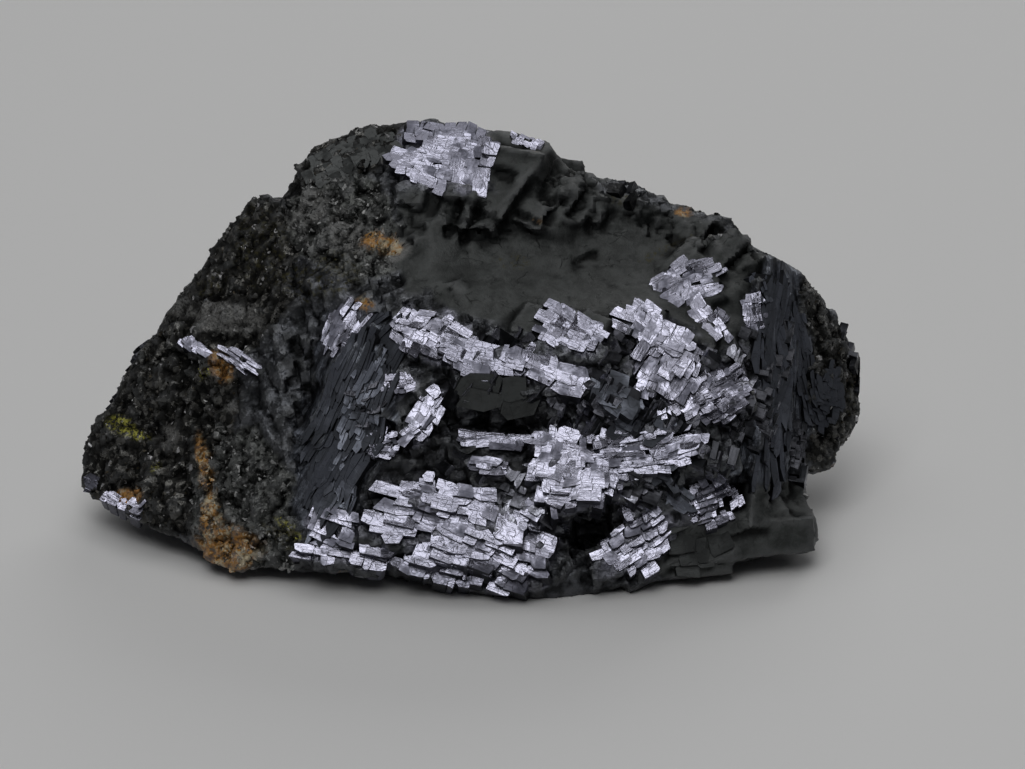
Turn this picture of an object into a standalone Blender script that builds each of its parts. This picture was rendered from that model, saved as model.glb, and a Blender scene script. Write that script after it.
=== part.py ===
# Galena specimen: a hand-sized lump of lead ore, broken along galena's cubic cleavage, with sphalerite and quartz.
import math
import random

import bmesh
import bpy
from mathutils import Matrix, Vector, noise
from mathutils.bvhtree import BVHTree

MM = 0.001

# The viewer looks down on the specimen from here. "Right, up, toward" are millimetres as they see it,
# measured from the foot of the front face.
VIEW_DOWN = math.radians(24)
VIEW_AWAY = 1000.0
VIEW_CENTRE = (5.5, 28.2)

ROUGH_CELL = 1.3 * MM          # cell of the remesh that joins the masses into one body
ROUGH_FACES = 0.125            # share of the body's triangles kept after the fracture is laid on
LUMP_SIZE = 6.0 * MM           # width of the lumps on a fracture
LUMP_DEPTH = 0.9 * MM
FOOT_HEIGHT = 0.2 * MM         # the flat cleavage face underneath is cut at this height
MERGE_WITHIN = 0.02 * MM


def view_axes(around, down):
    # Right, up and toward, as columns, for someone who stands this far round to the right and looks down this much.
    right = Vector((math.cos(around), math.sin(around), 0))
    level = Vector((math.sin(around), -math.cos(around), 0))
    toward = level * math.cos(down) + Vector((0, 0, math.sin(down)))
    return Matrix((right, toward.cross(right), toward)).transposed()


def seen(right, up, toward):
    # A corner where the viewer sees it. Farther corners spread out a little, because the view is in perspective.
    spread = 1 - toward / VIEW_AWAY
    across = VIEW_CENTRE[0] + (right - VIEW_CENTRE[0]) * spread
    above = VIEW_CENTRE[1] + (up - VIEW_CENTRE[1]) * spread
    return view_axes(0, VIEW_DOWN) @ Vector((across, above, toward)) * MM


def upright(right, back, high):
    # A corner in the upright frame, for the sides that the viewer doesn't see.
    return Vector((right, back, high)) * MM


LUMP_CENTRE = upright(0, 27, 24)

# Each mass is the hull of its corners. Together they give the lump its planes and its outline.
MASSES = {
    "middle": [
        seen(7.7, 0.0, 0.0), seen(-6.0, 3.0, -0.5), seen(18.0, 1.0, -3.0), seen(29.0, 3.5, -8.0),
        seen(2.0, 16.0, 3.5), seen(20.0, 17.0, 4.0), seen(34.0, 17.0, 0.0), seen(-9.0, 22.0, 2.0),
        seen(-7.0, 37.0, 1.0), seen(12.0, 35.5, 3.0), seen(24.0, 34.0, 2.0), seen(35.5, 34.0, -3.0),
        seen(-5.0, 60.0, -14.0), seen(3.0, 59.0, -14.0), seen(9.0, 56.5, -15.0),
        seen(16.0, 54.2, -15.0), seen(25.0, 52.8, -15.0), seen(34.0, 49.0, -15.0), seen(40.0, 43.5, -16.0),
        upright(-15, 48, 36), upright(30, 47, 30), upright(-16, 52, 8), upright(34, 46, 6),
        upright(-15, 45, 0), upright(28, 41, 0), upright(32, 16, 0), upright(-16, 10, 0),
    ],
    "left_shoulder": [
        seen(-9.0, 35.5, 1.5), seen(-7.0, 38.0, 0.5), seen(-15.5, 5.5, 0.0), seen(-10.0, 5.0, 0.0),
        seen(-9.0, 20.0, 2.0), seen(-18.0, 39.0, -3.0), seen(-24.0, 24.0, -3.0), seen(-27.0, 8.0, -3.5),
        seen(-6.0, 60.0, -14.0), seen(-14.0, 55.0, -13.0), seen(-24.0, 50.5, -14.0), seen(-2.0, 48.0, -7.0),
        upright(-20, 47, 34), upright(0, 46, 34), upright(-24, 12, 2), upright(-8, 8, 0),
    ],
    "left_wing": [
        seen(-27.9, 53.0, -17.0), seen(-24.0, 51.5, -17.0), seen(-18.0, 39.0, -3.0), seen(-24.0, 24.0, -2.5),
        seen(-22.0, 4.8, -2.0), seen(-28.3, 4.2, -3.5), seen(-33.0, 5.0, -5.5), seen(-36.5, 8.5, -8.0),
        seen(-44.0, 11.0, -14.0), seen(-51.6, 14.4, -19.0), seen(-50.6, 18.0, -20.0), seen(-48.8, 22.8, -20.0),
        seen(-46.2, 26.0, -20.0), seen(-40.2, 35.0, -19.0), seen(-34.6, 43.0, -18.0),
        upright(-31, 46, 32), upright(-20, 49, 34), upright(-38, 43, 9), upright(-18, 51, 5),
        upright(-20, 45, 0), upright(-26, 22, 0), upright(-10, 8, 0),
    ],
    "back_crest": [
        seen(-24.0, 52.5, -18.0), seen(-21.5, 57.5, -19.0), seen(-19.3, 59.6, -19.5), seen(-13.5, 62.0, -20.0),
        seen(-10.5, 60.8, -18.0), seen(-4.0, 62.0, -15.0), seen(0.5, 60.8, -15.0),
        seen(-20.0, 46.0, -9.0), seen(-6.0, 48.0, -7.0), seen(2.0, 52.0, -11.0),
        upright(-20, 47, 38), upright(-5, 48, 42), upright(-18, 48, 20), upright(0, 48, 20),
    ],
    "crest_block": [
        seen(2.0, 61.6, -14.5), seen(6.5, 61.2, -14.0), seen(10.0, 59.2, -14.0), seen(14.5, 54.8, -15.5),
        seen(0.5, 55.0, -11.0), seen(6.0, 54.0, -8.5), seen(9.5, 56.0, -10.0), seen(12.5, 52.0, -11.0),
        upright(3, 46, 44), upright(14, 46, 38), upright(2, 46, 30), upright(16, 46, 30),
    ],
    "right_lobe": [
        seen(40.4, 44.2, -16.0), seen(43.8, 41.8, -18.0), seen(47.5, 35.5, -22.0), seen(49.8, 32.8, -25.0),
        seen(49.8, 29.8, -26.0), seen(50.4, 24.0, -26.0), seen(47.5, 21.3, -26.0), seen(43.8, 16.8, -20.0),
        seen(42.0, 17.2, -13.0), seen(43.0, 28.8, -12.0), seen(42.0, 38.5, -14.0),
        seen(37.0, 34.0, -6.0), seen(36.5, 18.0, -5.0), seen(35.0, 12.0, -6.0),
        upright(44, 42, 23), upright(43, 41, 11), upright(34, 30, 4), upright(30, 45, 20),
    ],
    "lower_slab": [
        seen(44.2, 11.2, -7.5), seen(44.9, 7.6, -8.5), seen(43.0, 6.5, -8.5), seen(43.3, 15.0, -13.0),
        seen(34.0, 10.2, -3.0), seen(34.7, 16.0, -9.0), seen(28.0, 3.2, -6.0), seen(28.0, 10.0, -1.0),
        upright(42, 24, 3), upright(42, 24, 8), upright(28, 30, 2), upright(28, 28, 12),
    ],
}

# Hollows pressed into the body along the line of sight. at: the middle as the viewer sees it. spread: half its width
# and height. depth: how far the middle goes in; a swell has a depth below nought.
HOLLOWS = {
    "dish": dict(at=(16.0, 45.0), spread=(23.0, 7.5), depth=2.4),
    "recess": dict(at=(5.0, 24.2), spread=(10.0, 4.2), depth=3.4),
    "pit": dict(at=(15.7, 9.8), spread=(4.5, 4.5), depth=3.6),
    "crease_left": dict(at=(-21.0, 27.0), spread=(3.5, 14.0), depth=2.0),
    "crease_right": dict(at=(43.5, 27.0), spread=(2.2, 12.0), depth=3.0),
    "notch": dict(at=(16.0, 55.0), spread=(3.5, 3.0), depth=2.0),
    "low_right": dict(at=(27.0, 15.5), spread=(6.0, 3.0), depth=2.2),
    "shelf": dict(at=(8.0, 32.0), spread=(14.0, 4.0), depth=-1.6),
    "belly": dict(at=(-3.0, 10.0), spread=(11.0, 6.0), depth=-1.4),
    "rib": dict(at=(-33.0, 41.0), spread=(7.0, 5.0), depth=-1.2),
    "left_pit": dict(at=(-37.0, 22.0), spread=(8.0, 5.0), depth=1.6),
}

# The smooth slab below the crest, where the fracture has hardly any lumps.
SMOOTH_SLAB = dict(at=(15.0, 42.5), spread=(23.0, 11.0))

# Cleavage grains. Each is a patch of blocks with one lattice direction, standing out of the body in steps.
# at: the patch's middle as the viewer sees it. spread: half its width and height. block: length, width and depth.
# turn: of the long edge in the picture, then of the shining face to the sky and to the right.
GRAINS = {
    "crest_bright": dict(at=(-3.6, 54.6), spread=(6.0, 2.8), block=(5.0, 3.6, 3.0), number=9, turn=(-12, 30, 0)),
    "crest_face": dict(at=(5.6, 55.4), spread=(1.4, 1.2), block=(6.4, 5.0, 4.0), number=2, turn=(-12, 10, 6)),
    "crest_right": dict(at=(12.6, 50.6), spread=(4.0, 2.6), block=(4.6, 3.0, 3.0), number=9, turn=(50, 16, 24)),
    "top_steps": dict(at=(29.6, 44.2), spread=(5.6, 2.4), block=(5.5, 3.0, 3.0), number=9, turn=(48, 24, 10)),
    "upper_flake": dict(at=(28.5, 41.0), spread=(3.4, 2.2), block=(4.4, 2.2, 1.5), number=5, turn=(30, 30, 4)),
    "left_step": dict(at=(-32.0, 35.2), spread=(4.8, 2.6), block=(5.4, 2.4, 2.0), number=7, turn=(-8, 20, -20)),
    "left_flash": dict(at=(-33.0, 31.0), spread=(6.0, 1.6), block=(3.5, 1.4, 1.4), number=5, turn=(-32, 24, 0)),
    "tip_chip": dict(at=(-39.5, 12.5), spread=(5.0, 1.4), block=(5.0, 2.4, 2.0), number=4, turn=(-24, 20, -20)),
    "left_fibres": dict(at=(-16.0, 22.0), spread=(5.0, 10.0), block=(7.0, 1.6, 1.8), number=17, turn=(66, 4, -28)),
    "ridge_row": dict(at=(-3.5, 34.5), spread=(6.0, 3.0), block=(3.6, 2.6, 2.2), number=12, turn=(-24, 26, 0)),
    "shelf_left": dict(at=(3.0, 31.2), spread=(4.5, 2.0), block=(8.0, 3.8, 4.0), number=4, turn=(14, 24, 0)),
    "shelf_right": dict(at=(13.0, 29.6), spread=(4.5, 2.2), block=(7.5, 4.0, 4.0), number=4, turn=(-16, 24, 2)),
    "middle_row": dict(at=(13.0, 34.4), spread=(6.0, 2.4), block=(3.8, 3.2, 2.4), number=9, turn=(-28, 24, 0)),
    "right_bars": dict(at=(24.5, 32.0), spread=(5.0, 4.5), block=(4.2, 2.0, 2.4), number=14, turn=(62, 24, 2)),
    "left_flecks": dict(at=(-7.5, 25.5), spread=(3.5, 4.0), block=(3.0, 2.0, 2.0), number=8, turn=(64, 24, -4)),
    "right_middle": dict(at=(28.0, 25.0), spread=(7.0, 4.0), block=(4.4, 2.2, 2.4), number=14, turn=(26, 24, 4)),
    "column": dict(at=(11.5, 17.5), spread=(4.0, 6.0), block=(3.6, 2.8, 2.6), number=14, turn=(-8, 25, 0)),
    "right_low": dict(at=(25.0, 18.0), spread=(7.5, 4.0), block=(5.0, 2.0, 2.4), number=12, turn=(12, 20, 2)),
    "flow": dict(at=(-4.0, 9.8), spread=(9.0, 4.2), block=(5.0, 2.2, 2.2), number=18, turn=(-10, 26, 0)),
    "flow_right": dict(at=(5.5, 6.8), spread=(5.0, 4.0), block=(3.8, 3.0, 2.4), number=10, turn=(-18, 26, 0)),
    "plates_left": dict(at=(-16.0, 10.2), spread=(4.0, 4.0), block=(5.0, 2.4, 2.0), number=7, turn=(-10, 25, -2)),
    "foot_right": dict(at=(21.0, 7.2), spread=(4.5, 3.0), block=(4.4, 2.6, 2.2), number=8, turn=(30, 24, 2)),
    "slab_left": dict(at=(27.0, 7.6), spread=(3.5, 1.6), block=(5.5, 3.6, 2.6), number=5, turn=(6, 4, 6)),
    "right_sheets": dict(at=(39.0, 29.0), spread=(2.4, 11.0), block=(12.0, 1.8, 2.4), number=13, turn=(82, 6, 36)),
    "lobe": dict(at=(45.4, 27.4), spread=(2.2, 5.6), block=(4.2, 2.6, 2.4), number=12, turn=(75, 0, 30)),
    "crest_left": dict(at=(-15.5, 53.5), spread=(5.5, 3.4), block=(3.6, 2.6, 2.2), number=8, turn=(28, 20, -12)),
    "behind_high": dict(side="behind", at=(-6.0, 2.0), spread=(16.0, 7.0), block=(7.0, 4.0, 3.6), number=13, turn=(24, 14, 6)),
    "behind_low": dict(side="behind", at=(-12.0, -10.0), spread=(17.0, 7.0), block=(6.0, 3.6, 3.0), number=11, turn=(-14, 10, -8)),
    "behind_top": dict(side="behind", at=(-3.0, 12.0), spread=(14.0, 4.0), block=(6.0, 3.4, 3.4), number=8, turn=(34, 30, 4)),
}

# Single steps and blocks that catch the eye. at: the middle as the viewer sees it. proud: how far the block stands
# out of the surface there.
BLOCKS = {
    "step_wide": dict(at=(3.6, 51.4), size=(9.6, 4.2, 4.0), proud=1.5, turn=(62, 32, -4)),
    "step_middle": dict(at=(0.2, 50.2), size=(6.4, 3.0, 3.6), proud=1.0, turn=(64, 32, -4)),
    "step_narrow": dict(at=(-2.6, 50.4), size=(5.0, 2.4, 3.0), proud=0.6, turn=(64, 32, -4)),
    "step_lower": dict(at=(7.6, 50.0), size=(4.0, 5.2, 3.0), proud=0.9, turn=(62, 32, -2)),
    "shelf_cube": dict(at=(4.4, 28.8), size=(12.0, 7.0, 9.0), proud=1.3, turn=(-4, 42, -4)),
    "shelf_plate": dict(at=(8.8, 28.2), size=(6.6, 5.0, 6.0), proud=1.9, turn=(-18, 38, 0)),
    "bar_steep": dict(at=(-6.2, 23.4), size=(8.6, 1.8, 3.0), proud=0.9, turn=(58, 24, -6)),
    "tile_high": dict(at=(22.4, 35.0), size=(5.6, 3.4, 3.0), proud=0.8, turn=(-30, 28, 0)),
    "tile_round": dict(at=(28.6, 41.4), size=(6.4, 4.0, 2.6), proud=0.7, turn=(24, 34, 4)),
    "slab_end": dict(at=(38.2, 8.6), size=(12.4, 4.8, 9.0), proud=1.0, turn=(4, -10, 12)),
    "slab_top": dict(at=(36.0, 12.6), size=(9.0, 5.0, 3.0), proud=0.5, turn=(14, 58, 10)),
    "slab_step": dict(at=(30.4, 8.0), size=(5.0, 4.4, 6.0), proud=0.7, turn=(8, -6, 8)),
    "lobe_block": dict(at=(45.0, 18.6), size=(3.2, 3.0, 4.0), proud=0.6, turn=(8, 0, 20)),
    "corner_block": dict(at=(-26.2, 49.0), size=(4.0, 7.0, 5.0), proud=0.5, turn=(-16, 8, -22)),
}

# Where someone stands who looks at each side: how far round to the right, and how far up, in degrees.
SIDES = {"front": None, "behind": (180, 12)}


def clear_scene():
    for old in list(bpy.data.objects):
        bpy.data.objects.remove(old, do_unlink=True)


def new_collection(name):
    made = bpy.data.collections.new(name)
    bpy.context.scene.collection.children.link(made)
    return made


def object_from(shape, name, collection):
    mesh = bpy.data.meshes.new(name)
    shape.to_mesh(mesh)
    shape.free()
    made = bpy.data.objects.new(name, mesh)
    collection.objects.link(made)
    return made


def add_hull(shape, corners):
    # The smallest convex body round the corners, added to the shape.
    points = [shape.verts.new(corner) for corner in corners]
    hull = bmesh.ops.convex_hull(shape, input=points)
    inside = set(hull["geom_interior"] + hull["geom_unused"])
    bmesh.ops.delete(shape, geom=[v for v in inside if isinstance(v, bmesh.types.BMVert)], context="VERTS")


def joined_masses(collection):
    shape = bmesh.new()
    for corners in MASSES.values():
        add_hull(shape, corners)
    bmesh.ops.recalc_face_normals(shape, faces=shape.faces)
    joined = object_from(shape, "masses", collection)
    remesh = joined.modifiers.new("join", "REMESH")
    remesh.mode = "VOXEL"
    remesh.voxel_size = ROUGH_CELL
    return joined


def evaluated_shape(source):
    # A bmesh of the object as its modifiers leave it.
    graph = bpy.context.evaluated_depsgraph_get()
    mesh = bpy.data.meshes.new_from_object(source.evaluated_get(graph))
    shape = bmesh.new()
    shape.from_mesh(mesh)
    bpy.data.meshes.remove(mesh)
    return shape


def fracture_height(point):
    # Lumps and pits of the broken surface, in metres along the surface's normal.
    lump = noise.fractal(point / LUMP_SIZE, 0.8, 2.1, 3)
    picture = view_axes(0, VIEW_DOWN).transposed() @ point / MM
    smooth = 1 - 0.75 * inside_ellipse(picture, SMOOTH_SLAB)
    return LUMP_DEPTH * max(-1.2, min(1.2, lump)) * smooth


def inside_ellipse(picture, patch):
    # One in the patch's middle, nought outside it, with a soft edge.
    across = (picture.x - patch["at"][0]) / patch["spread"][0]
    above = (picture.y - patch["at"][1]) / patch["spread"][1]
    inside = max(0.0, 1 - across * across - above * above)
    return inside * inside * (3 - 2 * inside)


def hollow_depth(point):
    # How far the hollows press this place in, in metres away from the viewer.
    picture = view_axes(0, VIEW_DOWN).transposed() @ point / MM
    depth = 0.0
    for hollow in HOLLOWS.values():
        depth += hollow["depth"] * MM * inside_ellipse(picture, hollow)
    return depth


def fractured_body(masses, collection):
    shape = evaluated_shape(masses)
    shape.normal_update()
    toward = view_axes(0, VIEW_DOWN).col[2]
    moves = []
    for vert in shape.verts:
        facing = max(0.0, min(1.0, vert.normal.dot(toward) * 2))
        move = vert.normal * fracture_height(vert.co) - toward * hollow_depth(vert.co) * facing
        moves.append(move * min(1.0, vert.co.z / (3.0 * MM)))
    for vert, move in zip(shape.verts, moves):
        vert.co += move
    body = object_from(shape, "body", collection)
    thin = body.modifiers.new("thin", "DECIMATE")
    thin.ratio = ROUGH_FACES
    return body


class Side:
    # One side of the lump: its axes, and where lines of sight from there meet the surface.
    def __init__(self, name, tree):
        self.tree = tree
        if SIDES[name] is None:
            self.axes = view_axes(0, VIEW_DOWN)
            self.centre = seen(*VIEW_CENTRE, 0.0)
            self.middle = VIEW_CENTRE
        else:
            self.axes = view_axes(*(math.radians(angle) for angle in SIDES[name]))
            self.centre = LUMP_CENTRE.copy()
            self.middle = (0.0, 0.0)

    def surface_at(self, right, up):
        eye = self.centre + self.axes.col[2] * VIEW_AWAY * MM
        across = self.axes.col[0] * (right - self.middle[0]) * MM
        above = self.axes.col[1] * (up - self.middle[1]) * MM
        return self.tree.ray_cast(eye, (self.centre + across + above - eye).normalized())[0]

    def turned(self, roll, lean, swing):
        # A block's own axes: x along its length, z out of its shining face.
        swung = Matrix.Rotation(math.radians(swing), 3, "Y")
        leant = Matrix.Rotation(math.radians(-lean), 3, "X")
        rolled = Matrix.Rotation(math.radians(roll), 3, "Z")
        return self.axes @ swung @ leant @ rolled


def add_block(name, hit, turn, size, proud, collection):
    # A box let into the surface, so that this much of it stands out along its own z.
    centre = hit + turn.col[2] * (proud - size[2] / 2)
    shape = bmesh.new()
    place = Matrix.Translation(centre) @ turn.to_4x4() @ Matrix.Diagonal((*size, 1.0))
    bmesh.ops.create_cube(shape, size=1.0, matrix=place)
    block = object_from(shape, name, collection)
    block.hide_render = True
    block.display_type = "WIRE"


def add_grain(name, grain, tree, collection):
    # Seeded places inside an ellipse. Each block keeps the grain's lattice direction.
    draw = random.Random(name)
    side = Side(grain.get("side", "front"), tree)
    turn = side.turned(*grain["turn"])
    for index in range(grain["number"]):
        angle = draw.uniform(0, math.tau)
        reach = math.sqrt(draw.random())
        right = grain["at"][0] + grain["spread"][0] * reach * math.cos(angle)
        up = grain["at"][1] + grain["spread"][1] * reach * math.sin(angle)
        # Every third block is a wide low step that the others stand on.
        wide = 1.7 if index % 3 == 0 else 1.0
        size = [length * draw.uniform(0.7, 1.2) * wide * MM for length in grain["block"]]
        proud = draw.uniform(0.12, 0.34) * size[2] / wide / wide
        hit = side.surface_at(right, up)
        if hit is not None:
            add_block(f"{name}_{index:02d}", hit, turn, size, proud, collection)


def add_single_blocks(tree, collection):
    front = Side("front", tree)
    for name, block in BLOCKS.items():
        size = [length * MM for length in block["size"]]
        hit = front.surface_at(*block["at"])
        add_block(name, hit, front.turned(*block["turn"]), size, block["proud"] * MM, collection)


def add_ground(collection):
    # All that lies below the foot's height is cut away by this box.
    shape = bmesh.new()
    place = Matrix.Translation((0, 0, FOOT_HEIGHT - 0.05)) @ Matrix.Diagonal((0.4, 0.4, 0.1, 1.0))
    bmesh.ops.create_cube(shape, size=1.0, matrix=place)
    ground = object_from(shape, "ground", collection)
    ground.hide_render = True
    ground.display_type = "WIRE"
    return ground


def keep_outer_shell(shape):
    # Blocks that lean on each other can seal a small void. Its walls aren't joined to the outside, so they go.
    left = set(shape.verts)
    shells = []
    while left:
        shell = [left.pop()]
        for vert in shell:
            near = {edge.other_vert(vert) for edge in vert.link_edges} & left
            left -= near
            shell.extend(near)
        shells.append(shell)
    outer = max(shells, key=len)
    for shell in shells:
        if shell is not outer:
            bmesh.ops.delete(shape, geom=shell, context="VERTS")


def finished_specimen(body, collection):
    # The joined body as a mesh of its own, with its origin under the middle of its box.
    shape = evaluated_shape(body)
    bmesh.ops.remove_doubles(shape, verts=shape.verts, dist=MERGE_WITHIN)
    bmesh.ops.dissolve_degenerate(shape, dist=MERGE_WITHIN, edges=shape.edges)
    keep_outer_shell(shape)
    bmesh.ops.triangulate(shape, faces=shape.faces)
    lows = [min(vert.co[axis] for vert in shape.verts) for axis in range(3)]
    highs = [max(vert.co[axis] for vert in shape.verts) for axis in range(3)]
    under = Vector(((lows[0] + highs[0]) / 2, (lows[1] + highs[1]) / 2, lows[2]))
    bmesh.ops.translate(shape, verts=shape.verts, vec=-under)
    print("the front face's foot is now at", [round(-value / MM, 3) for value in under])
    return object_from(shape, "galena_specimen", collection)


def ore_material():
    material = bpy.data.materials.new("galena")
    material.use_nodes = True
    shader = material.node_tree.nodes["Principled BSDF"]
    shader.inputs["Base Color"].default_value = (0.12, 0.125, 0.135, 1.0)
    shader.inputs["Roughness"].default_value = 0.45
    shader.inputs["Metallic"].default_value = 0.85
    return material


def main():
    clear_scene()
    specimen = new_collection("galena_specimen")
    helpers = new_collection("helpers")
    blocks = new_collection("cleavage_blocks")
    masses = joined_masses(helpers)
    body = fractured_body(masses, helpers)
    for helper in (masses, body):
        helper.hide_render = True
        helper.display_type = "WIRE"
    tree = BVHTree.FromBMesh(evaluated_shape(body))
    for name, grain in GRAINS.items():
        add_grain(name, grain, tree, blocks)
    add_single_blocks(tree, blocks)
    join = body.modifiers.new("blocks", "BOOLEAN")
    join.operation = "UNION"
    join.operand_type = "COLLECTION"
    join.collection = blocks
    foot = body.modifiers.new("foot", "BOOLEAN")
    foot.operation = "DIFFERENCE"
    foot.object = add_ground(helpers)
    finished = finished_specimen(body, specimen)
    finished.data.materials.append(ore_material())


main()
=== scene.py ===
import math
import random

import bmesh
import bpy
import numpy as np
from mathutils import Euler, Matrix, Vector
from mathutils.bvhtree import BVHTree


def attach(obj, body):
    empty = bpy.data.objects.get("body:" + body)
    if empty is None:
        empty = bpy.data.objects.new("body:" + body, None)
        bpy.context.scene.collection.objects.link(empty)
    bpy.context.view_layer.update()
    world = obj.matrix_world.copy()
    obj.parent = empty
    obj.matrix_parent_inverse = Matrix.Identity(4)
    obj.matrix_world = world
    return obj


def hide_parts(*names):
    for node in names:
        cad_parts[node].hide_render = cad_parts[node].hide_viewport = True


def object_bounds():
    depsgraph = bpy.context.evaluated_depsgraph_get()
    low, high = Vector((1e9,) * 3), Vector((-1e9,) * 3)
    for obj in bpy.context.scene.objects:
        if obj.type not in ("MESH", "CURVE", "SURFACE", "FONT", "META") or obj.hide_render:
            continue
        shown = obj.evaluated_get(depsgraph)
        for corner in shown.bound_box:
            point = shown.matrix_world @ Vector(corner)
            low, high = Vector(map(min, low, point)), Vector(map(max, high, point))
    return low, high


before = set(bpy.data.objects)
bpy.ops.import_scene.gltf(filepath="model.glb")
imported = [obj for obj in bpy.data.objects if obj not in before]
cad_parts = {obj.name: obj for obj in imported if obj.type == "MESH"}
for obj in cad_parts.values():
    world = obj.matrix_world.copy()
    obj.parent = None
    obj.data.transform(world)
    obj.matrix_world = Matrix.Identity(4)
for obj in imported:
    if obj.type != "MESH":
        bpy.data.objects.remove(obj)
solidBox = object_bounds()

mm = 0.001

# Everything on the specimen is placed in mm to the right of, above and toward the viewer from the foot of its
# front face, as the camera sees it.
picture = {
    "down": math.radians(24),                # how far the camera looks down
    "away": 1.0,                             # camera to the front face, m
    "centre": (5.46, 28.2),                  # what the camera aims at, mm right and up
    "pixels": 1025,                          # width of the picture
    "pixel": 0.1285,                         # width of one pixel at the specimen, mm
    "foot": (-0.126, -25.255, -0.2),         # the front face's foot in the frame, mm
}
down = picture["down"]
pictureAxes = np.array([
    [1, 0, 0],
    [0, math.sin(down), math.cos(down)],
    [0, -math.cos(down), math.sin(down)],
])
toward = Vector(pictureAxes[2])


def pictured(points):
    # Where points, in m, are seen: mm right, up and toward.
    local = (points / mm - np.array(picture["foot"])) @ pictureAxes.T
    spread = 1 - local[:, 2:3] * mm / picture["away"]
    centre = np.array(picture["centre"])
    return np.hstack([centre + (local[:, :2] - centre) / spread, local[:, 2:3]])


def placed(right, up, near):
    # The point, in m, that is seen at this place.
    spread = 1 - near * mm / picture["away"]
    across = picture["centre"][0] + (right - picture["centre"][0]) * spread
    above = picture["centre"][1] + (up - picture["centre"][1]) * spread
    return Vector((np.array((across, above, near)) @ pictureAxes + np.array(picture["foot"])) * mm)


def turned(roll, lean, swing, behind=False):
    # A lattice's axes as columns: long edge, short edge, and the way its shining face looks.
    axes = Matrix(pictureAxes.tolist()).transposed()
    if behind:
        axes = Matrix.Rotation(math.pi, 3, "Z") @ axes
    swung = Matrix.Rotation(math.radians(swing), 3, "Y")
    leant = Matrix.Rotation(math.radians(-lean), 3, "X")
    return axes @ swung @ leant @ Matrix.Rotation(math.radians(roll), 3, "Z")


# noise and soft shapes on arrays of points

scramblers = (73856093, 19349663, 83492791)      # large primes, one for each axis
stirrer = 1274126177


def scrambled(cell):
    # One whole number for each cell of a grid.
    return (cell[:, 0] * scramblers[0]) ^ (cell[:, 1] * scramblers[1]) ^ (cell[:, 2] * scramblers[2])


def stirred(mixed):
    return (mixed ^ (mixed >> 13)) * stirrer


def blobs(points, size, seed):
    # Smooth noise between -1 and 1. size is the width of its blobs, in the points' own unit.
    places = points / size + seed * 17.31
    base = np.floor(places).astype(np.int64)
    part = places - base
    part = part * part * (3 - 2 * part)
    total = np.zeros(len(places))
    for corner in range(8):
        step = np.array([(corner >> axis) & 1 for axis in range(3)])
        mixed = stirred(scrambled(base + step))
        height = ((mixed ^ (mixed >> 16)) & 0xFFFF) / 32767.5 - 1
        total += height * np.prod(np.where(step == 1, part, 1 - part), axis=1)
    return total


def crumbled(points, size, seed):
    # Angular relief between about -1 and 1: each point lies on the tilted face of its nearest seed.
    places = points / size + seed * 5.7
    base = np.floor(places).astype(np.int64)
    nearest = np.full(len(places), 1e9)
    relief = np.zeros(len(places))
    for corner in range(27):
        cell = base + np.array([corner % 3 - 1, corner // 3 % 3 - 1, corner // 9 - 1])
        mixed = scrambled(cell) ^ seed
        draws = []
        for turn in range(7):
            mixed = (stirred(mixed) + turn) & 0x7FFFFFFF
            draws.append((mixed & 0xFFFF) / 65535.0)
        offset = places - cell - np.stack(draws[:3], axis=1)
        apart = np.einsum("ij,ij->i", offset, offset)
        tilt = np.stack(draws[3:6], axis=1) * 2 - 1
        here = np.einsum("ij,ij->i", offset, tilt) + draws[6] - 0.5
        closer = apart < nearest
        nearest = np.where(closer, apart, nearest)
        relief = np.where(closer, here, relief)
    return relief


def evened(mesh, points, rounds):
    # The points after each has moved to its neighbours' middle this many times.
    ends = np.empty(len(mesh.edges) * 2, np.int32)
    mesh.edges.foreach_get("vertices", ends)
    first, second = ends[::2], ends[1::2]
    count = np.bincount(ends, minlength=len(points))[:, None]
    for _ in range(rounds):
        total = np.stack([
            np.bincount(first, points[second, axis], len(points)) +
            np.bincount(second, points[first, axis], len(points)) for axis in range(3)], axis=1)
        points = total / count
    return points


def eased(values, low, high):
    share = np.clip((values - low) / (high - low), 0, 1)
    return share * share * (3 - 2 * share)


def insideOutline(seen, corners, soft):
    # One inside the outline and nought outside it, with an edge this soft, in mm.
    spots = seen[:, :2]
    ends = np.roll(corners, -1, axis=0)
    nearest = np.full(len(spots), 1e9)
    crossings = np.zeros(len(spots), int)
    for start, end in zip(np.array(corners, float), np.array(ends, float)):
        along = end - start
        share = np.clip(((spots - start) @ along) / (along @ along), 0, 1)
        nearest = np.minimum(nearest, np.linalg.norm(spots - start - share[:, None] * along, axis=1))
        spans = (start[1] > spots[:, 1]) != (end[1] > spots[:, 1])
        rise = along[1] if along[1] else 1e-9
        crossings += spans & (spots[:, 0] < start[0] + along[0] * (spots[:, 1] - start[1]) / rise)
    depth = np.where(crossings % 2 == 1, nearest, -nearest)
    return eased(depth, -soft, soft)


def insideSpot(seen, spot, ragged):
    # The same for an ellipse: its middle, half sizes and turn, and how much noise frays its edge.
    turn = math.radians(spot.get("turn", 0))
    side = seen[:, 0] - spot["at"][0]
    rise = seen[:, 1] - spot["at"][1]
    long = (side * math.cos(turn) + rise * math.sin(turn)) / spot["half"][0]
    short = (rise * math.cos(turn) - side * math.sin(turn)) / spot["half"][1]
    return eased(1.25 - np.hypot(long, short) + ragged, 0, 0.5)


# what shows where: zones as outlines, spots as ellipses, all in mm as the camera sees them

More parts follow.
